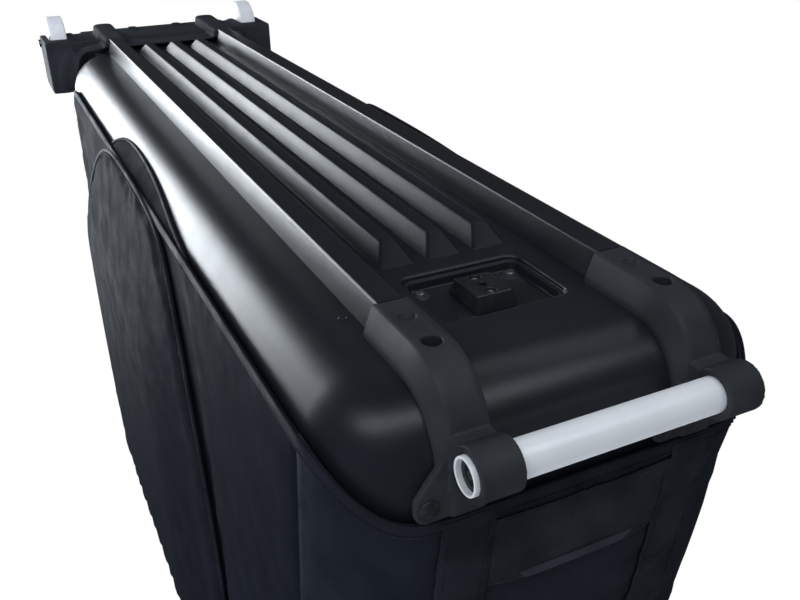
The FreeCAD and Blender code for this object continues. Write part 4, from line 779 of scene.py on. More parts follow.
def sheet(shape, rows, thick, flip=False):
    """Add a layer of cloth: rows of points on its outside, the inside a thickness behind."""
    outside = np.array([[tuple(p) for p in row] for row in rows], dtype=float)
    m, n = outside.shape[:2]
    along, up = np.gradient(outside, axis=1), np.gradient(outside, axis=0)
    facing = np.cross(along, up) * (-1 if flip else 1)
    facing /= np.maximum(np.linalg.norm(facing, axis=2, keepdims=True), 1e-9)
    behind = outside - facing * thick
    run, rise = travelled(outside, 1), travelled(outside, 0)
    run -= run[:, -1:] / 2
    outer, inner = ([shape.ring([tuple(p) for p in row]) for row in layer]
                    for layer in (outside, behind))

    def quad(cells, places):
        if flip:
            cells, places = cells[::-1], places[::-1]
        shape.face(tuple(cells), [(run[place], rise[place]) for place in places])

    for i in range(m - 1):
        for j in range(n - 1):
            places = [(i, j), (i, j + 1), (i + 1, j + 1), (i + 1, j)]
            quad([outer[a][b] for a, b in places], places)
            quad([inner[a][b] for a, b in places[::-1]], places[::-1])
    loop = [(0, j) for j in range(n)] + [(i, n - 1) for i in range(1, m)]
    loop += [(m - 1, j) for j in range(n - 2, -1, -1)] + [(i, 0) for i in range(m - 2, 0, -1)]
    rim = []
    for i, j in loop:
        way = np.zeros(3)
        for step, last, place in ((along[i, j], n - 1, j), (up[i, j], m - 1, i)):
            sign = -1 if place == 0 else 1 if place == last else 0
            way += sign * step / max(np.linalg.norm(step), 1e-9)
        way /= max(np.linalg.norm(way), 1e-9)
        rim.append(tuple((outside[i, j] + behind[i, j]) / 2 + way * thick * 0.4))
    edge = shape.ring(rim)
    for k, a in enumerate(loop):
        b, ka, kb = loop[(k + 1) % len(loop)], edge[k], edge[(k + 1) % len(loop)]
        quad([outer[b[0]][b[1]], outer[a[0]][a[1]], ka, kb], [b, a, a, b])
        quad([kb, ka, inner[a[0]][a[1]], inner[b[0]][b[1]]], [b, a, a, b])


print("sheet helper ready")

# %% [markdown]
# Before it gets its thickness, a panel can settle as real cloth: it is held where it is sewn, has
# a little slack, and a light push from inside stands for the padding. A simulation does this
# better than noise, because the folds then run between the seams. How far a point may move has a
# limit, so that no fold reaches a neighbour.

# %% Settling
SETTLE_FRAMES = 20
CLOTH_SETTINGS = {"vertex_group_mass": "sewn", "quality": 5, "mass": 0.3, "tension_stiffness": 20,
                  "compression_stiffness": 20, "bending_stiffness": 0.6, "use_pressure": True}


def settled(rows, push, slack, reach, held=None):
    """Rows of a panel after it has settled; it is sewn at its edges and where held(i, j) says."""
    m, n = len(rows), len(rows[0])
    points = [Vector(p) * MM for row in rows for p in row]
    faces = [(i * n + j, i * n + j + 1, (i + 1) * n + j + 1, (i + 1) * n + j)
             for i in range(m - 1) for j in range(n - 1)]
    mesh = bpy.data.meshes.new("settling")
    mesh.from_pydata(points, [], faces)
    obj = bpy.data.objects.new("settling", mesh)
    scene.collection.objects.link(obj)
    sewn = obj.vertex_groups.new(name="sewn")
    sewn.add([i * n + j for i in range(m) for j in range(n)
              if i in (0, m - 1) or j in (0, n - 1) or held and held(i, j)], 1.0, "REPLACE")
    cloth = obj.modifiers.new("cloth", "CLOTH").settings
    for key, value in CLOTH_SETTINGS.items():
        setattr(cloth, key, value)
    cloth.shrink_min = -slack
    cloth.uniform_pressure_force = push
    cloth.effector_weights.gravity = 0
    for step in range(1, SETTLE_FRAMES + 1):
        scene.frame_set(step)
    shaped = obj.evaluated_get(bpy.context.evaluated_depsgraph_get()).to_mesh()
    moved = []
    for before, vertex in zip(points, shaped.vertices):
        shift = (vertex.co - before) / MM
        moved.append(before / MM + shift * (reach / max(shift.length, reach)))
    scene.frame_set(1)
    bpy.data.objects.remove(obj)
    bpy.data.meshes.remove(mesh)
    most = max((a - b / MM).length for a, b in zip(moved, points))
    print("settled", m * n, "points, most", round(most, 2), "mm")
    return [moved[i * n:(i + 1) * n] for i in range(m)]


print("settling helper ready")

# %% [markdown]
# Piping, bindings and webbing are tubes, round or flat, along a path. Rows of small beads are the
# stitches: they cost few faces and catch the light as thread does.

# %% Paths, rolls and stitches
BEAD = ((0, -0.6), (0.2, 0.4), (0.5, 0.75), (0.8, 0.4), (1, -0.6))


def ease(value, low, high):
    t = min(max((value - low) / (high - low), 0), 1)
    return t * t * (3 - 2 * t)


def measured(path):
    """The length of a path, and a function that gives the point at a length along it."""
    spots = np.array([tuple(p) for p in path])
    run = np.insert(np.cumsum(np.linalg.norm(np.diff(spots, axis=0), axis=1)), 0, 0)
    return run[-1], lambda place: Vector([np.interp(place, run, spots[:, a]) for a in range(3)])


def smooth_path(points, count):
    """Points at even steps along a soft curve through a few given points."""
    curve = bpy.data.curves.new("path", "CURVE")
    curve.dimensions = "3D"
    spline = curve.splines.new("NURBS")
    spline.points.add(len(points) - 1)
    for spot, p in zip(spline.points, points):
        spot.co = (*p, 1)
    spline.order_u, spline.use_endpoint_u, spline.resolution_u = 3, True, 24
    holder = bpy.data.objects.new("path", curve)
    line = bpy.data.meshes.new_from_object(holder)
    length, at = measured([vertex.co for vertex in line.vertices])
    bpy.data.objects.remove(holder)
    bpy.data.curves.remove(curve)
    bpy.data.meshes.remove(line)
    return [at(place) for place in np.linspace(0, length, count)]


def roll(shape, path, radius, sides=10, flat=1.0, facing=Vector((0, 0, 1))):
    """A round or flattened tube along a path; facing is the direction in which it is flat."""
    rings = []
    for k, p in enumerate(path):
        way = (path[min(k + 1, len(path) - 1)] - path[max(k - 1, 0)]).normalized()
        side = way.cross(facing).normalized()
        up = side.cross(way)
        rings.append([p + side * radius * math.cos(a) + up * radius * flat * math.sin(a)
                      for a in arc(0, 360, sides)[:-1]])
    made = shape.loft(rings)
    shape.cap(made[0], flip=True)
    shape.cap(made[-1])


def stitches(shape, path, facing, length=3.0, pitch=4.4, radius=0.42):
    """A row of sewn stitches: short beads along a path, each with tapered ends."""
    total, at = measured(path)
    for start in np.arange(pitch / 2, total - length, pitch):
        bead = [at(start + share * length) + facing * lift * radius for share, lift in BEAD]
        roll(shape, bead, radius, 6, 1.0, facing)


print("path helpers ready")

# %% [markdown]
# ## Front wall
# The wall leans back by 8 degrees and wraps round both front corners. Its lower edge rises through
# the corners to clear the pull bar's brackets. The grid runs from one side seam to the other; it
# is held at its edges, under both straps and behind the handle, so the middle swells a little
# between them.

# %% Front wall
LEAN_ANGLE = math.radians(8)
LEAN = math.tan(LEAN_ANGLE)
OUTWARD = Vector((1, 0, LEAN)).normalized()
BAG_HALF, BAG_CORNER, CLOTH, FRONT_X = 184.3, 79, 4, 50.34
ZIP, BAG_TOP, HEM_SIDE, HEM_FRONT, HEM_RISE = 794, 829, 60, 105, 0.21
ZIP_EDGE = ZIP - 0.3
ROUND_X, ROUND_Z, ROUND = -101.7, 769, 60
BEND_RUN = math.pi / 2 * BAG_CORNER
FRONT_RUN = 2 * BEND_RUN + 2 * (BAG_HALF - BAG_CORNER)
FRONT_COLUMNS, FRONT_ROWS, STRAP_HELD_ROWS = 73, 65, 48
STRAP_Y, STRAP_HELD_HALF, HANDLE_HELD_HALF = 95, 16, 118


def front_x(z):
    """Outside of the front wall on the middle line, with the round towards the lid."""
    if z > ROUND_Z + ROUND * math.sin(LEAN_ANGLE):
        return ROUND_X + math.sqrt(max(ROUND ** 2 - (z - ROUND_Z) ** 2, 0))
    return FRONT_X - (z - RIM) * LEAN


def front_plan(share, z, grow=0.0):
    """Point on the front wall: share 0 at the right seam, 1 at the left one."""
    place = share * FRONT_RUN
    x = front_x(z) - BAG_CORNER
    from_seam = min(place, FRONT_RUN - place)
    if from_seam < BEND_RUN:
        a = from_seam / BAG_CORNER
        y = BAG_HALF - BAG_CORNER + (BAG_CORNER + grow) * math.cos(a)
        return Vector((x + (BAG_CORNER + grow) * math.sin(a), math.copysign(y, share - 0.5), z))
    return Vector((x + BAG_CORNER + grow, place - FRONT_RUN / 2, z))


def hem_z(share):
    """The lower edge rises through the corner."""
    return HEM_SIDE + (HEM_FRONT - HEM_SIDE) * ease(min(share, 1 - share), 0.0, HEM_RISE)


def front_point(up, share):
    low = hem_z(share)
    return front_plan(share, low + (ZIP_EDGE - low) * up)


def held_in_front(i, j):
    p = flat_front[i][j]
    under_strap = abs(abs(p.y) - STRAP_Y) < STRAP_HELD_HALF and i < STRAP_HELD_ROWS
    return under_strap or (abs(p.y) < HANDLE_HELD_HALF and 545 < p.z < 655)


flat_front = grid(FRONT_ROWS, FRONT_COLUMNS, front_point)
front_rows = settled(flat_front, 3.0, 0.008, 5.0, held_in_front)
front_cloth = Shape()
sheet(front_cloth, front_rows, CLOTH)
made = front_cloth.build("front_wall_cloth", "bag_cloth", stands_for=["front_wall"],
                         slot="bag_fabric", sharp=70)


def on_front(y, z, lift):
    """Point above the settled front wall at a place across and a height."""
    share = (FRONT_RUN / 2 + y) / FRONT_RUN
    low = hem_z(share)
    a = min(max((z - low) / (ZIP_EDGE - low), 0), 1) * (FRONT_ROWS - 1)
    b = share * (FRONT_COLUMNS - 1)
    i, j = min(int(a), FRONT_ROWS - 2), min(int(b), FRONT_COLUMNS - 2)
    below, above = (row[j].lerp(row[j + 1], b - j) for row in front_rows[i:i + 2])
    return below.lerp(above, a - i) + OUTWARD * lift


print("front wall:", len(front_cloth.faces), "faces")

# %% [markdown]
# ## Straps, rough panel and tab
# Two wide webbing straps run up the front wall, with a rough panel and a narrow grey tab sewn
# between them. Flat webbing is drawn directly on the settled wall, because a simulation would blur
# its edges.

# %% Front straps, panel and tab
STRAP_HALF, STRAP_SPAN, STRAP_SEAM = 20, (105.5, 655), 16.5
PANEL_HALF, PANEL_SPAN, TAB_HALF, TAB_SPAN = 74.5, (117, 184), 50, (177, 185)


def front_band(shape, y_span, z_span, lift, thick, across=7, rows=60, wave=0.6, slant=0):
    """A flat strip on the front wall, with a slight wave; a slant draws its upper end in."""
    def place(up, over):
        z = z_span[0] + (z_span[1] - z_span[0]) * up
        y = (y_span[0] + (y_span[1] - y_span[0]) * over) * (1 - slant * up)
        crown = 0.5 * (1 - (2 * over - 1) ** 2)
        return on_front(y, z, lift + crown + wave * math.sin(z / 47 + y / 60) ** 2)

    sheet(shape, grid(rows, across, place), thick)


def front_line(start, end, lift, count=60):
    start, end = Vector(start), Vector(end)
    return [on_front(*start.lerp(end, k / count), lift) for k in range(count + 1)]


thread = Shape()
for side, sign in SIDES:
    strap, y = Shape(), sign * STRAP_Y
    front_band(strap, (y - STRAP_HALF, y + STRAP_HALF), STRAP_SPAN, 2.4, 2.0)
    made = strap.build(f"front_strap_{side}_webbing", "strap_webbing",
                       stands_for=[f"front_strap_{side}"], slot="webbing", sharp=60)
    for step in (-STRAP_SEAM, STRAP_SEAM):
        stitches(thread, front_line((y + step, 108), (y + step, 650), 3.0, 90), OUTWARD)
panel = Shape()
front_band(panel, (-PANEL_HALF, PANEL_HALF), PANEL_SPAN, 1.8, 1.4, across=25, rows=16, wave=0.3)
made = panel.build("front_panel_cloth", "basket_cloth", stands_for=["front_panel"],
                   slot="fabric_rough", sharp=60)
stitches(thread, front_line((-73, 181), (73, 181), 2.1), OUTWARD)
tab = Shape()
front_band(tab, (-TAB_HALF, TAB_HALF), TAB_SPAN, 3.0, 1.2, across=13, rows=5, wave=0.2, slant=0.14)
tab.build("front_tab_tape", "grey_tab", stands_for=["front_tab"], slot="tab_grey", sharp=60)
print("straps:", len(SIDES), "panel and tab:", len(panel.faces) + len(tab.faces), "faces")

# %% [markdown]
# ## Hem binding
# A folded tape closes the lower edge of the bag. It runs along one side, climbs round the corner,
# crosses the front and goes back along the other side, so it is one flattened tube on one path.
# The stitches along it are plain to see on the real hem.

# %% Hem binding
HEM_REAR, HEM_LIFT, HEM_GROW, HEM_RADIUS = -1076, 4, 0.4, 2.1
HEM_SIDE_STEPS, HEM_FRONT_STEPS = 90, 120


def hem_run(sign):
    """The straight run along one side, from the rear to the front corner."""
    reach = front_x(HEM_SIDE) - BAG_CORNER - HEM_REAR
    return [Vector((HEM_REAR + reach * k / HEM_SIDE_STEPS, sign * (BAG_HALF + HEM_GROW),
                    HEM_SIDE + HEM_LIFT)) for k in range(HEM_SIDE_STEPS)]


hem_path, hem_out = hem_run(-1), [Vector((0, -1, 0))] * HEM_SIDE_STEPS
for share in (k / HEM_FRONT_STEPS for k in range(HEM_FRONT_STEPS + 1)):
    z = hem_z(share) + HEM_LIFT
    ahead = front_plan(min(share + 0.01, 1), z) - front_plan(max(share - 0.01, 0), z)
    hem_path.append(front_plan(share, z, HEM_GROW))
    hem_out.append(Vector((ahead.y, -ahead.x, 0)).normalized())
hem_path += hem_run(1)[::-1]
hem_out += [Vector((0, 1, 0))] * HEM_SIDE_STEPS
hem = Shape()
roll(hem, hem_path, HEM_RADIUS, 12, 2.9)
hem.build("hem_binding_tape", "hem_tape", stands_for=["hem_binding"], slot="binding", sharp=80)
sewn = [p + n * HEM_RADIUS + Vector((0, 0, 2.6)) for p, n in zip(hem_path, hem_out)]
stitches(thread, sewn, Vector((1, 0, 0)), 3.2, 4.6, 0.5)
print("hem path", len(hem_path), "points")

# %% [markdown]
# ## Side walls
# The side walls are padded panels from the rear seam to the front corner. Their top follows the
# rear round and the zip; low down they are drawn in towards the wheel carrier. They settle between
# their seams, with the pocket's outline held, since the pocket is sewn on there.

# %% Side walls
REAR_ROUND_X, REAR_ROUND_Z, REAR_ROUND = -966.3, 529, 300
BAG_REAR, REAR_SEAM = -1266.3, -1187.3
PINCH, PINCH_FROM, PINCH_TO = 75, 120, 380
SIDE_COLUMNS, SIDE_ROWS, SIDE_START = 97, 57, REAR_SEAM + 0.6
SIDE_RISE, SIDE_RISE_FROM, SIDE_RISE_TO = 42, 1066, 1180


def roof_z(x):
    """Outside height of the bag on its middle line."""
    if x < REAR_ROUND_X:
        return REAR_ROUND_Z + math.sqrt(max(REAR_ROUND ** 2 - (x - REAR_ROUND_X) ** 2, 0))
    if x > ROUND_X:
        return ROUND_Z + math.sqrt(max(ROUND ** 2 - (x - ROUND_X) ** 2, 0))
    return BAG_TOP


def pinched(z):
    """Radius of the bag's rear corners: wide at the wheel carrier, tighter further up."""
    return BAG_CORNER + PINCH * (1 - ease(z, PINCH_FROM, PINCH_TO))


def rear_side(x, z):
    """Half width of the bag where it turns towards the rear wall."""
    round_off = pinched(z)
    over = max(BAG_REAR + round_off - x, 0)
    return BAG_HALF - round_off + math.sqrt(max(round_off ** 2 - over ** 2, 0))


def side_x(z, share, short=0.0):
    """Place along the side wall at a height, short of the front corner by a little."""
    return SIDE_START + (front_x(z) - BAG_CORNER - short - SIDE_START) * share


def side_point(up, share, sign):
    low = HEM_SIDE + 1
    low += SIDE_RISE * ease(-side_x(low, share), SIDE_RISE_FROM, SIDE_RISE_TO)
    high = min(ZIP_EDGE, roof_z(side_x(ZIP, share)) - CLOTH - 0.6)
    z = low + (high - low) * up
    x = side_x(z, share, 0.4)
    return Vector((x, sign * rear_side(x, z), z))


def in_pocket(p):
    return -1085 < p.x < -335 and p.z < 745


for side, sign in SIDES:
    flat = grid(SIDE_ROWS, SIDE_COLUMNS,
                lambda up, t: side_point(up, 1 - t if sign > 0 else t, sign))
    wall = Shape()
    sheet(wall, settled(flat, 2.5, 0.006, 4.0, lambda i, j: in_pocket(flat[i][j])), CLOTH)
    made = wall.build(f"side_wall_{side}_cloth", "side_cloth_painted_shade", stands_for=[f"side_wall_{side}"],
                      slot="bag_fabric", sharp=70)
print("side walls:", len(SIDES))

# %% [markdown]
# ## Wheel pockets
# Each side carries a big pocket for a wheel. Its lower edge is an arch: the panel starts flat at
# the hem and stands off further up, with a gusset between its edge and the wall. The outline is a
# soft curve through a few points; the panel is a grid between its two flanks.

# %% Pocket panel
POCKET_TOP = 742
POCKET_OUTLINE = [(-1075, POCKET_TOP), (-1075, 600), (-1072, 440), (-1030, 250), (-900, 125),
                  (-760, 66), (-640, 58), (-530, 58), (-430, 72), (-408, 140), (-390, 200),
                  (-360, 320), (-345, 440), (-340, 600), (-340, POCKET_TOP)]
POCKET_ROWS, POCKET_COLUMNS, POCKET_SWELL, GUSSET_Y = 57, 49, 3.5, BAG_HALF + 0.5
outline = smooth_path([(x, 0, z) for x, z in POCKET_OUTLINE], 160)
lowest = min(range(len(outline)), key=lambda k: outline[k].z)
foot = outline[lowest].z + 1.5
flanks = [np.array(sorted((p.z, p.x) for p in half)).T
          for half in (outline[:lowest + 1], outline[lowest:])]


def stand_off(x, z):
    """Distance from the middle: full at the rear, drawn in to a crease at the front."""
    return 186.5 + 19 * ease(z, 60, 310) * (1 - 0.85 * ease(x, -560, -385))


def pocket_point(up, u, sign):
    z = foot + (POCKET_TOP - foot) * (0.35 * up + 0.65 * up * up)
    rear, front = (np.interp(z, *flank) for flank in flanks)
    swell = (1 - abs(2 * u - 1) ** 3) * POCKET_SWELL * ease(z, 60, 240)
    x = rear + (front - rear) * (1 - u if sign > 0 else u)
    return Vector((x, sign * (stand_off(x, z) + swell), z))


def pocket_panel(side, sign):
    """The pocket's panel and gusset; returns its seam and its mouth for the piping."""
    flat = grid(POCKET_ROWS, POCKET_COLUMNS, lambda up, u: pocket_point(up, u, sign))
    rows = settled(flat, 3.0, 0.014, 7.0)
    pocket = Shape()
    sheet(pocket, rows, 3.0)
    edge = [Vector((p.x, sign * stand_off(p.x, p.z), p.z)) for p in outline]
    gusset = [[Vector((p.x, sign * (GUSSET_Y + (abs(p.y) - GUSSET_Y - 1) * t), p.z)) for p in edge]
              for t in (0, 1 / 3, 2 / 3, 1)]
    sheet(pocket, gusset, 2.4, flip=sign > 0)
    made = pocket.build(f"wheel_pocket_{side}_cloth", "side_cloth_painted_shade",
                        stands_for=[f"wheel_pocket_{side}"], slot="bag_fabric", sharp=70)
    return edge, rows[-1]


print("pocket outline:", len(outline), "points")

# %% [markdown]
# Piping runs along the pocket's seam and its mouth, with a row of stitches inside it. Below the
# pocket a second arch laps over the tray's round: a line a little above the round, and cloth from
# there up to the hem. The arch looks darker because it is made of the sides' cloth, whose colour
# holds painted shade.

# %% Pockets with their piping, laps and stitches
LAP = [(-740, 179, 58), (-705, 168, 41), (-623, 164, 38), (-499, 168, 42), (-384, 177, 56),
       (-331, 180, 63)]
LAP_STEPS, LAP_LIFT, LAP_ROWS, LAP_TOP_Y = 48, 2.8, 6, 187.0
POCKET_MIDDLE, SEAM_INSET = (-690, 500), 0.012


def over_round(p, sign):
    """A point moved out to a little above the round of the tray's edge."""
    away = Vector((0, p.y - (SHELL_HALF - EDGE), p.z - ROUND_MIDDLE))
    away *= max(away.length, EDGE + LAP_LIFT) / away.length
    return Vector((p.x, sign * (SHELL_HALF - EDGE + away.y), ROUND_MIDDLE + away.z))


for side, sign in SIDES:
    (edge, mouth), out = pocket_panel(side, sign), Vector((0, sign, 0))
    lap_path = [over_round(p, sign) for p in smooth_path(LAP, LAP_STEPS)]
    trim = Shape()
    roll(trim, [p + out * 0.6 for p in edge], 2.6)
    roll(trim, [p - out * 1.2 for p in mouth], 3.2, 10, 2.6)
    roll(trim, lap_path, 2.2)
    trim.build(f"wheel_pocket_{side}_piping", "hem_tape", slot="binding", sharp=80)
    tops = [Vector((p.x, sign * LAP_TOP_Y, HEM_SIDE + 8)) for p in lap_path]
    lap = Shape()
    sheet(lap, [[p.lerp(top, k / (LAP_ROWS - 1)) for p, top in zip(lap_path, tops)]
                for k in range(LAP_ROWS)], 1.6, flip=sign > 0)
    made = lap.build(f"wheel_pocket_{side}_lap", "side_cloth_painted_shade", slot="bag_fabric", sharp=70)
    seam = [p + out * 3.0 for p in edge]
    seam = [p.lerp(Vector((POCKET_MIDDLE[0], p.y, POCKET_MIDDLE[1])), SEAM_INSET) for p in seam]
    stitches(thread, seam, Vector((0, 1, 0)), 3.2, 4.8, 0.45)
print("pockets:", len(SIDES))

# %% [markdown]
# ## Rear wall
# Behind, the bag turns over a large round to its top. The rear wall is a grid of level rows that
# stop at the round. It is held at its edges and behind the handle.

# %% Rear wall
REAR_ROWS, REAR_COLUMNS, REAR_LOW, REAR_HIGH, SOFTENED = 53, 61, 101, 731, 3


def evenly(start, end, count):
    return [start + (end - start) * k / count for k in range(count + 1)]


def rear_row(z):
    """A level row from the left seam to the right one, softened where it meets the round."""
    back = REAR_ROUND_X - math.sqrt(max(REAR_ROUND ** 2 - max(z - REAR_ROUND_Z, 0) ** 2, 0))
    round_off = pinched(z)
    seam = math.asin((BAG_REAR + round_off - REAR_SEAM) / round_off)
    bend = (math.pi / 2 - seam) * round_off
    whole = 2 * bend + 2 * (BAG_HALF - round_off)
    row = []
    for place in evenly(0, whole, REAR_COLUMNS - 1):
        a = seam + min(place, whole - place) / round_off
        x, y = BAG_REAR, BAG_HALF - round_off - (place - bend)
        if a < math.pi / 2:
            x = BAG_REAR + round_off - round_off * math.sin(a)
            y = math.copysign(BAG_HALF - round_off + round_off * math.cos(a), y)
        row.append(Vector((max(x, back), y, z)))
    for _ in range(SOFTENED):
        row[1:-1] = [b / 2 + (a + c) / 4 for a, b, c in zip(row, row[1:], row[2:])]
    return row


def held_behind(i, j):
    p = flat_rear[i][j]
    return abs(p.y) < HANDLE_HELD_HALF and 405 < p.z < 515


flat_rear = [rear_row(z) for z in evenly(REAR_LOW, REAR_HIGH, REAR_ROWS - 1)]
rear = Shape()
sheet(rear, settled(flat_rear, 2.5, 0.008, 5.0, held_behind), CLOTH)
made = rear.build("rear_wall_cloth", "bag_cloth", stands_for=["rear_wall"], slot="bag_fabric",
                  sharp=70)
print("rear wall:", len(rear.faces), "faces")

# %% [markdown]
# ## Hood and lid
# The fixed hood and the lid are rows of cross sections, each with sides, soft upper edges and a
# roof. Near the front corners the sections get narrower and lower, which closes the lid's tray
# without a separate piece. The roofs settle like the walls; piping follows their upper edges.

# %% Hood and lid
LID_REAR, LID_LOW, SOFT_EDGE, LID_GAP = -955, 794.3, 13.0, 0.3
CORNER_START = front_x(ZIP) - BAG_CORNER
ROOF_STEPS, HELD_ACROSS, PIPED, LID_TURN = 18, 8, 5, 66


def half_width(x):
    over = max(x - CORNER_START if x > CORNER_START else REAR_SEAM - x, 0)
    return BAG_HALF - BAG_CORNER + math.sqrt(max(BAG_CORNER ** 2 - over ** 2, 0))


def section(x):
    """One cross section from left to right: side, soft edge, roof, soft edge, side."""
    wide, top = half_width(x), roof_z(x)
    low = min(LID_LOW, top - 0.4)
    soft = min(SOFT_EDGE, (top - low) * 0.95)
    half = [(wide, low), (wide, low + (top - soft - low) * 0.5)]
    half += [(wide - soft + soft * math.cos(a), top - soft + soft * math.sin(a))
             for a in arc(0, 90, 6)]
    roof = [((wide - soft) * (1 - 2 * k / ROOF_STEPS), top) for k in range(1, ROOF_STEPS)]
    line = half + roof + [(-y, z) for y, z in reversed(half)]
    return [Vector((x, y, z)) for y, z in line]


def roofed(name, stations, body, nodes, reach):
    rows = [section(x) for x in stations]
    last = len(rows[0]) - 1
    rows = settled(rows, 2.5, 0.006, reach, lambda i, j: min(j, last - j) < HELD_ACROSS)
    roof = Shape()
    sheet(roof, rows, CLOTH)
    made = roof.build(name, "bag_cloth", body, nodes, "bag_fabric", sharp=70)
    return rows


def roof_edges(rows):
    return [[row[k] for row in rows] for k in (PIPED, -1 - PIPED)]


def edge_piping(name, paths, body):
    trim = Shape()
    for path in paths:
        roll(trim, path, 2.3)
    trim.build(name, "hem_tape", body, slot="binding", sharp=80)


steep = math.acos((LID_LOW - ROUND_Z) / ROUND)
lid_stations = evenly(LID_REAR + LID_GAP, ROUND_X, 62)[:-1]
lid_stations += [ROUND_X + ROUND * math.sin(a) for a in evenly(0, steep, 14)]
hood_rows = roofed("rear_hood_cloth", evenly(SIDE_START, LID_REAR - LID_GAP, 30), "base",
                   ["rear_hood"],
                   5.0)
lid_rows = roofed("lid_cloth", lid_stations, "lid",
                  ["lid_panel", "lid_band_front", "lid_band_left", "lid_band_right"],
                  6.0)
edge_piping("rear_hood_piping", roof_edges(hood_rows), "base")
left, right = roof_edges(lid_rows[:LID_TURN])
across = lid_rows[LID_TURN][PIPED + 1:-1 - PIPED]
edge_piping("lid_piping", [left + across + right[::-1]], "lid")
print("hood and lid:", len(hood_rows) + len(lid_rows), "sections")

# %% [markdown]
# ## Zip
# One zip runs along the left side and across the front. Each half is a woven tape with its own row
# of teeth, so that the upper half opens with the lid. A tooth is a small tapered block; the two
# rows are staggered by half a pitch. The sliders and pulls are cast, so they get the same even
# skin as the other mouldings.

# %% Zip tapes and teeth
TOOTH_PITCH, TOOTH_MARGIN, TAPE_ROWS = 3.4, 3, 4
TOOTH_FOOT = [(-1.1, -1.2, -1), (1.1, -1.2, -1), (1.1, 1.4, -1), (-1.1, 1.4, -1)]
TOOTH_CROWN = [(-0.7, -0.8, 1), (0.7, -0.8, 1), (0.8, 1.1, 1), (-0.8, 1.1, 1)]
# half, body, lower and upper edge of the tape, height of the teeth, which way they point, stagger
ZIP_HALVES = (("wall", "base", ZIP - 9, ZIP - 0.2, ZIP - 1.2, 1, 0.0),
              ("lid", "lid", ZIP + 0.3, ZIP + 9, ZIP + 1.4, -1, 0.5))


def zip_line(z, grow):
    """Along the left side from the lid's rear, then round the front to the far corner."""
    side = evenly(LID_REAR + 0.6, front_x(z) - BAG_CORNER, 150)[:-1]
    return ([Vector((x, BAG_HALF + grow, z)) for x in side]
            + [front_plan(share, z, grow) for share in evenly(1, BEND_RUN / FRONT_RUN, 60)])


def tooth(shape, centre, way, out, up):
    rings = [[centre + way * a + up * b + out * c * 0.9 for a, b, c in ring]
             for ring in (TOOTH_FOOT, TOOTH_CROWN)]
    shape.cap(shape.loft(rings)[1])


for part, body, low, high, level, point, stagger in ZIP_HALVES:
    tape, teeth = Shape(), Shape()
    sheet(tape, [zip_line(z, 1.6) for z in evenly(low, high, TAPE_ROWS - 1)], 1.3, flip=True)
    tape.build(f"zip_tape_{part}_weave", "zip_cloth", body, [f"zip_tape_{part}"], "zip_tape",
               sharp=70)
    length, at = measured(zip_line(level, 2.2))
    for place in np.arange(TOOTH_MARGIN + stagger * TOOTH_PITCH, length - TOOTH_MARGIN,
                           TOOTH_PITCH):
        way = (at(place + 1) - at(place)).normalized()
        tooth(teeth, at(place), way, Vector((-way.y, way.x, 0)), Vector((0, 0, point)))
    teeth.build(f"zip_teeth_{part}", "black_lacquer", body, slot="zip_metal", sharp=30)
for end in ("front", "rear"):
    moulded(f"zip_slider_{end}", 0.45, 2, "black_lacquer", f"{end}_slider")
    moulded(f"zip_pull_{end}", 0.4, 2, "rivet_cap", f"{end}_pull")

# %% [markdown]
# ## Lid hinge and carry handles
# The lid hinges on a sewn bead along the right side. The handles are loops of webbing, each with a
# padded grip: a flat tube swept along a rounded loop gives the webbing its soft edges.

# %% Lid hinge
HINGE_Y, HINGE_REAR, HINGE_FRONT = -191.3, -954.7, -126.4
HINGE_WEB = ((-184.8, 791.2), (-187.5, 791.4), (-190.6, 791.9))
HINGE_FLAP = ((-188.4, 795.2), (-187.0, 796.2), (-184.7, 797.2))


def along_hinge(y, z):
    return [Vector((x, y, z)) for x in evenly(HINGE_REAR, HINGE_FRONT, 80)]


bead, flap = Shape(), Shape()
roll(bead, along_hinge(HINGE_Y, ZIP), 2.5, 12)
sheet(bead, [along_hinge(*line) for line in HINGE_WEB], 0.9, flip=True)
bead.build("lid_hinge_bead", "hem_tape", "base", ["lid_hinge_piping"], "binding", sharp=80)
sheet(flap, [along_hinge(*line) for line in HINGE_FLAP], 1.5, flip=True)
flap.build("lid_hinge_tape", "hem_tape", "lid", ["lid_hinge_flap"], "binding", sharp=80)
print("hinge:", len(bead.faces) + len(flap.faces), "faces")

# %% Carry handles and stitches
LOOP_DROP, WEB_HALF, WEB_THICK, GRIP_HALF, GRIP_THICK, GRIP_END = 64, 16, 1.9, 17.0, 3.6, 48


def carry_handle(name, body, node, spot, out, top):
    """A webbing loop that hangs from its two upper ends, with a grip in the middle."""
    low = top - LOOP_DROP
    half = [(89, top, 0), (89, top - 34, 0), (86, low + 1, 0), (60, low, 0)]
    loop = smooth_path([*half, (0, low, 0), *((-y, z, 0) for y, z, _ in reversed(half))], 70)
    web, grip = Shape(), Shape()
    roll(web, [spot(p.x, p.y, 4.8) for p in loop], WEB_HALF, 16, WEB_THICK / WEB_HALF, out)
    handle = web.build(name, "strap_webbing", body, [node], "webbing", sharp=80)
    bar = [spot(y, low, 6.2) for y in evenly(-GRIP_END, GRIP_END, 24)]
    roll(grip, bar, GRIP_HALF, 20, GRIP_THICK / GRIP_HALF, out)
    grip.build(name + "_grip", "hem_tape", body, slot="binding", sharp=80)


carry_handle("front_carry_loop", "front_handle", "front_carry_handle",
             lambda y, z, lift: Vector((front_x(z), y, z)) + OUTWARD * lift, OUTWARD, 640)
carry_handle("rear_carry_loop", "rear_handle", "rear_carry_handle",
             lambda y, z, lift: Vector((BAG_REAR - lift + 2.4, y, z)), Vector((-1, 0, 0)), 500)
thread.build("seam_stitches", "sewing_thread", "base", slot="binding", sharp=80)
print("stitches:", len(thread.faces), "faces")

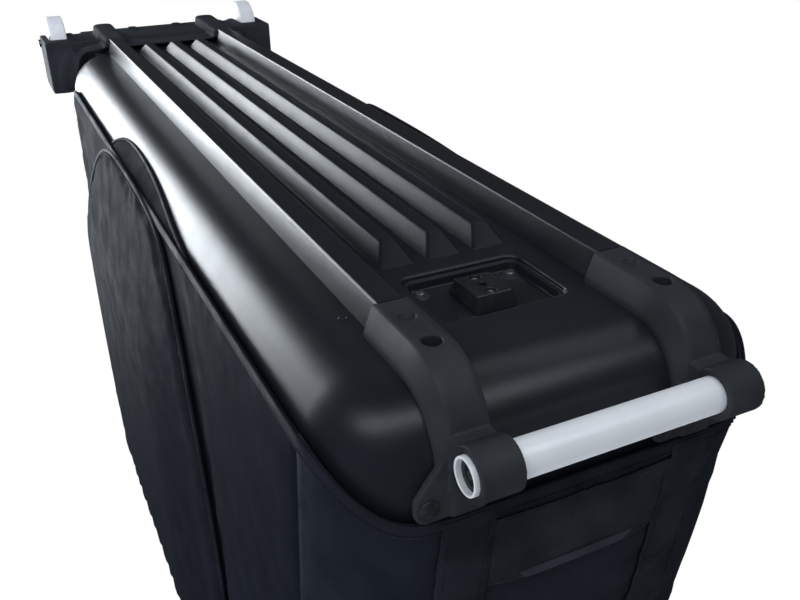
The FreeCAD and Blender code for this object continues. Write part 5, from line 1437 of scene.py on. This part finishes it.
# %% [markdown]
# ## Inside
# The floor has a foam pad with a cradle for the frame and a strap over it. Foam is soft but solid,
# so an even skin with rounded edges is right for it. The strap is drawn directly.

# %% Inside
STRAP_STATIONS, STRAP_LIFT = (-620, -613, -600, -587, -580), 0.6
pad = moulded("floor_pad", 5.0, 4, "grey_foam")
cradle = moulded("frame_cradle", 3.0, 4, "grey_foam")
half = [(0, 47, 98.5), (0, 47, 140), (0, 46.5, 149.2), (0, 36, 150)]
over = smooth_path([*half, (0, 0, 149.4), *((0, -y, z) for _, y, z in reversed(half))], 60)
strap = Shape()
sheet(strap, [[Vector((x, p.y, p.z + STRAP_LIFT)) for p in over] for x in STRAP_STATIONS], 2.0)
made = strap.build("cradle_strap_webbing", "strap_webbing", "base", ["cradle_strap"], "webbing",
                   sharp=70)
print("cradle strap:", len(strap.faces), "faces")

# %% [markdown]
# ## Small hardware
# Screws, rivets and wheels are turned parts, so they come from the lathe. The rivets are shallow
# domes, the dock's screws have a deep round bore, and small bosses carry the screws in the recess.
# A faint ring on the floor is the mark of the mould's ejector.

# %% Rivets, screws and marks


def turned(name, finish, profile, places, axis, segments, slot, sharp, nodes=(), body="base",
           closed=False):
    """One profile turned round an axis at each of some places, as one piece."""
    made = Shape()
    for place in places:
        lathe(made, profile, place, axis, segments, closed)
    made.build(name, finish, body, nodes, slot, sharp)
    print(name, len(made.faces), "faces")


dome = [(7.6, -0.4), (7.5, 0.7), (7.1, 1.3), (6.2, 1.75), (4.4, 2.2), (2.2, 2.45), (0.01, 2.5)]
feet = [(52.3, sign * RAIL_Y + step, 90) for sign in (1, -1) for step in (-29, 29)]
turned("foot_rivet_domes", "rivet_cap", dome, feet, "X", 32, "rivet_plastic", 50, ["foot_rivets"])
head = [(4.5, 30), (4.5, 25.5), (4.2, 25.05), (3.9, 24.95), (2.6, 24.95), (2.4, 25.2), (2.3, 27.6),
        (0.01, 28.0)]
turned("dock_screw_heads", "zinc_plate", head, [(RECESS_X + x, 0, 0) for x in (-12.3, 12.3)], "Z",
       32, "steel", 35, ["dock_screws"])
pan = [(4.4, 36.2), (4.4, 34.2), (4.0, 33.3), (3.0, 32.9), (1.6, 32.8), (1.5, 33.2), (1.4, 34.6),
       (0.01, 34.7)]
boss = [(8.6, 36.4), (7.4, 36.0), (6.6, 35.2), (6.3, 34.4), (5.9, 34.1), (4.5, 34.1)]
corners = [(-121, 42, 0), (-121, -42, 0)]
turned("recess_screw_heads", "zinc_plate", pan, corners, "Z", 28, "steel", 35, ["recess_screws"])
turned("recess_screw_bosses", "bracket_grain", boss, corners, "Z", 28, "shell_plastic", 50)
ejector = [(2.3, 24.35), (2.6, 24.0), (3.0, 23.9), (3.4, 24.05), (3.7, 24.35)]
turned("mould_mark_ring", "dock_gloss", ejector, [(-95, 118.5, 0)], "Z", 32, "shell_plastic", 60)

# %% [markdown]
# The wheels have a cast tyre with a crowned tread and a shallow groove on each flank, round a
# dished disc.

# %% Wheels
tread = there_and_back([(34.4, -13.6), (35.2, -14.0), (37.0, -14.0), (37.4, -13.4), (39.6, -13.4),
                        (40.0, -14.0), (42.0, -14.0), (43.7, -13.2), (44.6, -11.6), (44.9, -9.0),
                        (45.0, -4.0)])
dish = there_and_back([(6.6, -12.9), (9.6, -13.2), (10.4, -12.6), (11.2, -11.6), (28, -11.6),
                       (30.5, -12.4), (32.0, -13.4), (34.3, -13.5)])
for side, sign in SIDES:
    hub = [(AXLE.x, sign * AXLE.y, AXLE.z)]
    turned(f"wheel_tyre_{side}_cast", "cast_white", tread, hub, "Y", 72, "wheel_tread", 40,
           [f"wheel_tyre_{side}"], f"wheel_{side}", closed=True)
    turned(f"wheel_hub_{side}_disc", "cast_white", dish, hub, "Y", 64, "wheel_hub", 40,
           [f"wheel_hub_{side}"], f"wheel_{side}", closed=True)

# %% [markdown]
# Nodes whose solid is already right keep it and only get a finish.

# %% Plain nodes
PLAIN = {
    "zinc_plate": ["axle_bolt_left", "axle_bolt_right", "axle_nut_left", "axle_nut_right",
                   "wheel_bearings_left", "wheel_bearings_right", "rail_screws", "bracket_nuts",
                   "carrier_screws", "dock_backing_plate"],
    "black_lacquer": ["bracket_bolts"],
    "glass_fibre": ["stay_rods"],
    "bracket_grain": ["stay_sockets"],
}
for finish, nodes in PLAIN.items():
    for node in nodes:
        for place in frame["nodes"][node].material_slots:
            place.material = FINISHES[finish]
print("plain nodes:", sum(len(nodes) for nodes in PLAIN.values()))

# %% [markdown]
# ## Floor
# A pale floor catches the shadow of the case. The camera looks from below it, so the floor is
# drawn from above only, and it holds back no light.

# %% Floor
FLOOR_HALF = 8.0
mesh = bpy.data.meshes.new("studio_floor")
mesh.from_pydata([(x * FLOOR_HALF, y * FLOOR_HALF, 0)
                  for x, y in ((-1, -1), (1, -1), (1, 1), (-1, 1))], [], [(0, 1, 2, 3)])
floor = bpy.data.objects.new("studio_floor", mesh)
scene.collection.objects.link(floor)
pale = Finish("studio_floor", (0.82, 0.82, 0.83), 0.9)
pale.put(pale.shader, {"Base Color": pale.tint(pale.spot(3, 2), (0.80, 0.80, 0.81),
                                               (0.84, 0.84, 0.85))})
facing = pale.add("NewGeometry").outputs["Backfacing"]
one_sided = pale.add("MixShader", {"Fac": facing, 1: pale.shader.outputs[0],
                                   2: pale.add("BsdfTransparent").outputs[0]})
pale.put(pale.tree.nodes["Material Output"], {"Surface": one_sided.outputs[0]})
mesh.materials.append(pale.material)
floor.visible_shadow = False
floor.visible_diffuse = False
floor.visible_glossy = False
print("floor:", 2 * FLOOR_HALF, "m wide")
